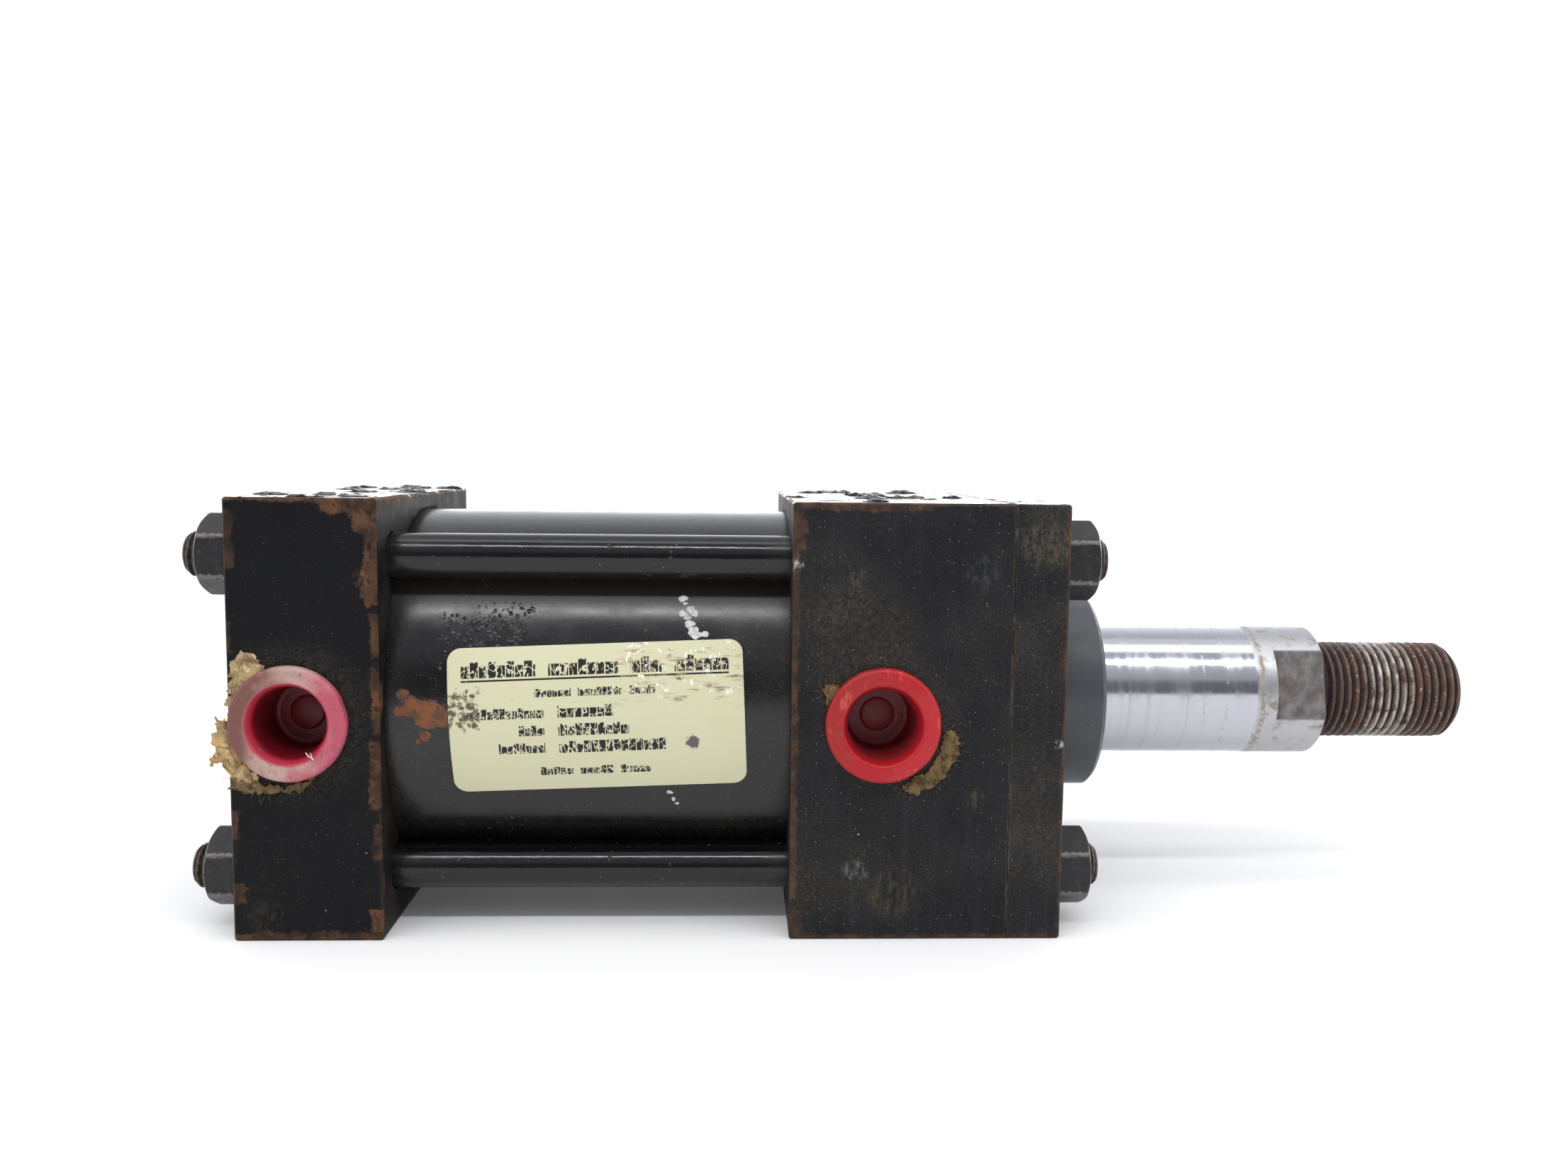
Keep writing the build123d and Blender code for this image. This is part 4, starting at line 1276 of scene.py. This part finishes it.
def stuck_piece(name, sheets, material):
    """One piece on the barrel made of several sheets."""
    vertices, faces = [], []
    for sheet_vertices, sheet_faces in sheets:
        start = len(vertices)
        vertices += sheet_vertices
        faces += [[i + start for i in face] for face in sheet_faces]
    new_piece(name, vertices, faces, material, "barrel", sharp=60)


def inside_outline(p, outline):
    """True if a flat point lies in a closed outline."""
    hit = False
    for a, b in zip(outline, outline[1:] + outline[:1]):
        if (a.y > p.y) != (b.y > p.y) and p.x < (b.x - a.x) * (p.y - a.y) / (b.y - a.y) + a.x:
            hit = not hit
    return hit


def from_outline(p, outline):
    """Distance of a flat point from the outline's nearest point."""
    return min((p - q).length for q in outline)


def fibres(name, roots, place, material, body, seed, length, thickness=0.035):
    """Fine loose hairs that start at roots and wander outward over the surface."""
    chooser = random.Random(seed)
    curve = bpy.data.curves.new(name, "CURVE")
    curve.dimensions = "3D"
    curve.bevel_depth = thickness * MM
    curve.bevel_resolution = 1
    curve.resolution_u = 4
    for u, v, direction in roots:
        spline = curve.splines.new("NURBS")
        points = [(u, v)]
        heading = direction + chooser.uniform(-0.6, 0.6)
        reach = length * chooser.uniform(0.4, 1.0)
        for _ in range(4):
            heading += chooser.uniform(-0.55, 0.55)
            last = points[-1]
            points.append((last[0] + math.cos(heading) * reach / 4, last[1] + math.sin(heading) * reach / 4))
        spline.points.add(len(points) - 1)
        for control, (pu, pv) in zip(spline.points, points):
            height = 0.06 + chooser.uniform(0, 0.5)
            control.co = (*(Vector(place(pu, pv, height)) * MM), 1)
        spline.order_u = 3
        spline.use_endpoint_u = True
    curve.materials.append(material)
    hairs = put(name, curve)
    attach(hairs, body)


# Outlines of what is left of the tape round both plugs, as (x, z) on the blocks' front faces.
TAPE_UPPER = (
    (-142.4, 6.0), (-141.9, 10.4), (-139.8, 12.2), (-137.5, 10.8), (-136.9, 8.4), (-138.2, 6.6),
    (-139.6, 4.9), (-141.4, 3.0), (-142.7, 1.4), (-142.9, 3.6),
)
TAPE_LOWER = (
    (-143.0, 0.6), (-142.4, -1.6), (-141.4, -4.4), (-139.6, -7.4), (-138.0, -9.4), (-140.6, -10.2),
    (-142.4, -9.4), (-144.0, -6.9), (-146.1, -7.4), (-145.2, -4.6), (-145.4, -2.2), (-144.2, -1.2),
    (-144.8, 0.9),
)
TAPE_STRIP = (
    (-141.6, -8.6), (-138.6, -9.8), (-135.0, -10.7), (-131.2, -10.4), (-128.4, -8.6), (-129.2, -10.2),
    (-131.6, -11.8), (-136.0, -12.2), (-140.0, -12.0), (-142.6, -11.0),
)
RESIDUE_RIGHT = (
    (-24.6, -8.4), (-22.6, -6.2), (-21.4, -3.2), (-20.6, -0.6), (-18.9, -2.0), (-18.7, -5.2), (-20.6, -8.4),
    (-23.4, -10.9), (-26.6, -12.2), (-28.2, -11.3), (-27.0, -9.8),
)
RESIDUE_LEFT = (
    (-39.8, 2.6), (-41.4, 3.8), (-42.4, 5.9), (-41.6, 7.0), (-39.8, 7.0), (-38.6, 6.0), (-39.2, 4.2),
)


def make_tape():
    """Crumpled tape beside the cap's plug, a strip under it, and glue residue round the head's plug."""
    tape = paper_tape()
    residue = felt_residue()

    def sheet(outline, seed, thickness, relief, tear=0.8, fold=1.7):
        return torn_sheet(outline, on_front, seed, thickness, relief, tear, lift=0.03, fold=fold)

    stuck_piece("tape_upper", [sheet(TAPE_UPPER, 3, 0.14, 0.5, fold=3.0)], tape)
    stuck_piece("tape_lower", [sheet(TAPE_LOWER, 4, 0.14, 1.5, fold=3.0)], tape)
    stuck_piece("tape_strip", [sheet(TAPE_STRIP, 7, 0.3, 0.4)], residue)
    sheets = [sheet(RESIDUE_RIGHT, 8, 0.35, 0.25), sheet(RESIDUE_LEFT, 9, 0.3, 0.25, tear=0.7)]
    stuck_piece("head_plug_residue", sheets, residue)
    make_fibres(residue, RESIDUE_RIGHT, RESIDUE_LEFT, TAPE_STRIP)


def make_fibres(material, *outlines):
    """Hairs that stand out from the torn edges of the residue."""
    chooser = random.Random(77)
    for number, outline in enumerate(outlines):
        middle = sum((Vector(p) for p in outline), Vector((0, 0))) / len(outline)
        roots = []
        for point in torn_outline(outline, number, 0.4, samples=46):
            away = point - middle
            if chooser.random() < 0.8:
                roots.append((point.x, point.y, math.atan2(away.y, away.x)))
        fibres(f"residue_fibres_{number}", roots, on_front, material, "barrel", number, 1.9)


# Dried paint on the tube: (x, arc from the front, half width, half height)
PAINT_SPOTS = (
    (-66.5, 21.9, 0.75, 0.55), (-66.1, 20.9, 0.4, 0.3), (-65.3, 19.9, 0.7, 0.6), (-64.6, 19.0, 0.75, 0.7),
    (-66.6, 19.0, 0.65, 0.5), (-65.7, 18.3, 0.6, 0.45), (-65.2, 17.0, 1.0, 0.85), (-64.6, 15.9, 0.85, 0.8),
    (-63.9, 15.0, 1.2, 0.7), (-62.7, 15.1, 0.7, 0.5), (-65.0, 15.2, 0.5, 0.4),
    (-68.5, -13.7, 0.5, 0.35), (-68.0, -15.2, 0.35, 0.5), (-67.5, -16.2, 0.4, 0.3),
)


def blob(chooser, u, v, across, along, corners=7):
    """Uneven closed outline round a point."""
    points = []
    for k in range(corners):
        angle = TAU * k / corners
        reach = chooser.uniform(0.75, 1.25)
        points.append((u + math.cos(angle) * across * reach, v + math.sin(angle) * along * reach))
    return points


def make_paint_spots():
    """Dried white paint on the tube above and below the label."""
    chooser = random.Random(5)
    sheets = []
    for k, (u, v, across, along) in enumerate(PAINT_SPOTS):
        outline = blob(chooser, u, v, across, along)
        sheets.append(torn_sheet(outline, on_tube, 20 + k, 0.12, 0.05, tear=0.2, cell=0.35, dome=True))
    stuck_piece("tube_paint_spots", sheets, white_paint_spot())


def make_flakes():
    """Curled flakes of old paint on the blocks' top faces."""
    peeled = block_paint("flake_black", CAP_BACK, PLATE_FACE, 23)
    chooser = random.Random(12)
    for name, low, high, count in (
        ("cap_top_flakes", CAP_BACK + 2, CAP_FACE - 2, 12),
        ("head_top_flakes", HEAD_FACE + 2, PLATE_BACK - 2, 16),
    ):
        sheets = []
        if name == "cap_top_flakes":
            curled = blob(chooser, -130.5, -35.6, 3.6, 1.0)
            sheets.append(torn_sheet(curled, on_top, 59, 0.08, 0.9, tear=0.5, cell=0.5))
        for k in range(count):
            u, v = chooser.uniform(low, high), chooser.uniform(-35, 34)
            size = chooser.uniform(1.0, 2.8)
            outline = blob(chooser, u, v, size * 1.3, size * 0.8)
            sheets.append(torn_sheet(outline, on_top, 60 + k, 0.08, 0.55, tear=0.5, cell=0.6))
        stuck_piece(name, sheets, peeled)


# ---------- label

def make_label():
    """Rounded label that wraps the tube, with slightly lifted and rubbed spots."""
    half_width, half_height = LABEL_WIDTH / 2, LABEL_HEIGHT / 2
    columns, rows = 150, 80

    def half_at(v):
        over = abs(v) - (half_height - LABEL_CORNER)
        if over <= 0:
            return half_width
        return half_width - LABEL_CORNER + math.sqrt(max(0.0, LABEL_CORNER ** 2 - over ** 2))

    def place(u, v, height):
        x = LABEL_X + u * math.cos(LABEL_TILT) - v * math.sin(LABEL_TILT)
        arc = LABEL_ARC + u * math.sin(LABEL_TILT) + v * math.cos(LABEL_TILT)
        return on_tube(x, arc, height)

    top, bottom = [], []
    for j in range(rows + 1):
        v = half_height * math.sin((j / rows - 0.5) * math.pi)
        for i in range(columns + 1):
            u = half_at(v) * (2 * i / columns - 1)
            rubbed = math.exp(-((u - 15) / 8) ** 2 - ((v - 8) / 4) ** 2)
            tear = math.exp(-((u - LABEL_TEAR[0]) / 1.2) ** 2 - ((v - LABEL_TEAR[1]) / 1.4) ** 2)
            wave = 0.5 + lumps((u, v, 0), 1.1, 3.0)
            rise = 0.02 + 0.05 * rubbed * wave + 0.12 * tear * wave
            bottom.append(place(u, v, 0.02))
            top.append(place(u, v, LABEL_THICKNESS + rise))
    width = columns + 1
    count = len(top)
    faces = []
    for a in (j * width + i for j in range(rows) for i in range(columns)):
        square = [a, a + 1, a + 1 + width, a + width]
        faces.append(square)
        faces.append([corner + count for corner in reversed(square)])
    rim = list(range(width)) + [j * width + columns for j in range(1, rows + 1)]
    rim += [rows * width + i for i in range(columns - 1, -1, -1)]
    rim += [j * width for j in range(rows - 1, 0, -1)]
    faces += [[b, a, a + count, b + count] for a, b in zip(rim, rim[1:] + rim[:1])]
    points = top + bottom
    new_piece("label_sheet", points, faces, label_film(), "barrel", ("name_label",), sharp=60)


# ---------- CAD nodes that stay

RUBBER_NODES = (
    "piston_seal_rear", "piston_seal_front", "piston_o_ring", "gland_o_ring", "rod_seal", "rod_wiper",
)


def paint_cad_nodes():
    """Materials of the CAD nodes whose own shape is kept."""
    black_rubber = rubber("black_rubber", (30, 30, 31), 171)
    gasket = rubber("gasket_grey", (62, 60, 56), 173)
    finishes = {
        "rod_gland": gland_satin(),
        "piston_rod": rod_chrome(),
        "piston": machined("piston_aluminium", (190, 190, 192), 0.32, 181),
        "piston_nut": machined("piston_nut_steel", (150, 148, 144), 0.4, 183),
        "piston_wear_band": rubber("wear_band_plastic", (150, 132, 100), 175),
        "cap_tube_seal": gasket,
        "head_tube_seal": gasket,
    }
    finishes.update(dict.fromkeys(RUBBER_NODES, black_rubber))
    for node, material in finishes.items():
        materials = NODES[node].data.materials
        materials.clear()
        materials.append(material)


# ---------- studio

CAMERA_PLACE = Vector((-57.91, -261.99, 45.23))
CAMERA_PITCH, CAMERA_YAW, CAMERA_ROLL = (math.radians(a) for a in (-5.54, -2.253, -0.62))
CAMERA_LENS = 30.43


def make_camera():
    """Camera at the photo's place, pitched, yawed and rolled from straight ahead."""
    data = bpy.data.cameras.new("camera")
    data.sensor_width = 36.0
    data.lens = CAMERA_LENS
    data.clip_start, data.clip_end = 0.01, 20.0
    camera = put("camera", data)
    turn = Matrix.Rotation(CAMERA_YAW, 4, "Z") @ Matrix.Rotation(CAMERA_PITCH, 4, "X")
    turn = turn @ Matrix.Rotation(CAMERA_ROLL, 4, "Y") @ Matrix.Rotation(math.pi / 2, 4, "X")
    camera.matrix_world = Matrix.Translation(CAMERA_PLACE * MM) @ turn
    bpy.context.scene.camera = camera


LAMP_PLACE = Vector((-40, 100, 1000))
LAMP_TARGET = Vector((-40, 0, 0))
LAMP_SIZE = (1200, 500)
LAMP_WATTS = 0.8


def make_lamp():
    """Wide weak lamp over the cylinder, a little behind it."""
    data = bpy.data.lights.new("overhead", "AREA")
    data.shape = "RECTANGLE"
    data.size, data.size_y = (side * MM for side in LAMP_SIZE)
    data.energy = LAMP_WATTS
    light = put("overhead", data)
    light.location = LAMP_PLACE * MM
    light.rotation_mode = "QUATERNION"
    light.rotation_quaternion = (LAMP_TARGET - LAMP_PLACE).to_track_quat("-Z", "Y")


# Soft light round the cylinder: (degrees over the front horizon, strength)
LIGHT_PEAK = 18.0
LIGHT_BANDS = (
    (0, 0.19), (20, 0.26), (26, 0.6), (39, 0.65), (45, 0.72), (54.7, 0.72), (55.8, 18.0), (58.3, 18.0),
    (59.5, 0.68), (77, 0.6), (80, 2.5), (91, 2.5), (96, 0.6), (124, 0.85), (158, 1.5), (172, 3.4), (180, 3.5),
)


def make_world():
    """White for the camera. For light and reflections: bands of soft light by their angle over
    the front horizon, in degrees, so a lamp in front above, one overhead, and a white wall behind."""
    world = bpy.data.worlds.new("studio")
    bpy.context.scene.world = world
    w = Tree(world)
    coordinates = w.add("ShaderNodeTexCoord")
    _, y, z = w.apart(coordinates.outputs["Generated"])
    share = z.math("ARCTAN2", -y) / math.pi
    bands = w.add("ShaderNodeValToRGB")
    w.feed(bands.inputs[0], share)
    elements = bands.color_ramp.elements
    while len(elements) < len(LIGHT_BANDS):
        elements.new(0.5)
    for element, (degrees, _) in zip(elements, LIGHT_BANDS):
        element.position = degrees / 180
    for element, (_, strength) in zip(elements, LIGHT_BANDS):
        level = strength / LIGHT_PEAK
        element.color = (level, level * 1.02, level * 1.1, 1) if strength < 2 else (level, level, level, 1)
    glow = w.add("ShaderNodeBackground")
    w.link(bands.outputs[0], glow.inputs["Color"])
    w.feed(glow.inputs["Strength"], LIGHT_PEAK)
    seen = w.add("ShaderNodeBackground")
    w.feed(seen.inputs["Color"], (255, 255, 255))
    w.feed(seen.inputs["Strength"], 1.05)
    path = w.add("ShaderNodeLightPath")
    mixer = w.add("ShaderNodeMixShader")
    for index, socket in enumerate((path.outputs["Is Camera Ray"], glow.outputs[0], seen.outputs[0])):
        w.link(socket, mixer.inputs[index])
    output = w.add("ShaderNodeOutputWorld")
    w.link(mixer.outputs[0], output.inputs["Surface"])


FLOOR_REACH = 3000.0


def make_floor():
    """Large pale table top under the blocks."""
    sides = ((-1, -1), (1, -1), (1, 1), (-1, 1))
    vertices = [(x * FLOOR_REACH, y * FLOOR_REACH, -HALF_SIDE) for x, y in sides]
    mesh = bpy.data.meshes.new("floor")
    mesh.from_pydata([Vector(v) * MM for v in vertices], [], [[0, 1, 2, 3]])
    mesh.materials.append(floor_white())
    put("floor", mesh)


def make_studio():
    """Camera, light, table and plain colours."""
    make_camera()
    make_world()
    make_floor()
    make_lamp()
    view = bpy.context.scene.view_settings
    view.view_transform = "Standard"
    view.look = "None"
    view.exposure = 0.0


# ---------- everything

make_blocks()
make_tube()
make_fasteners()
make_stud()
make_plugs()
make_label()
make_tape()
make_paint_spots()
make_flakes()
paint_cad_nodes()
make_studio()
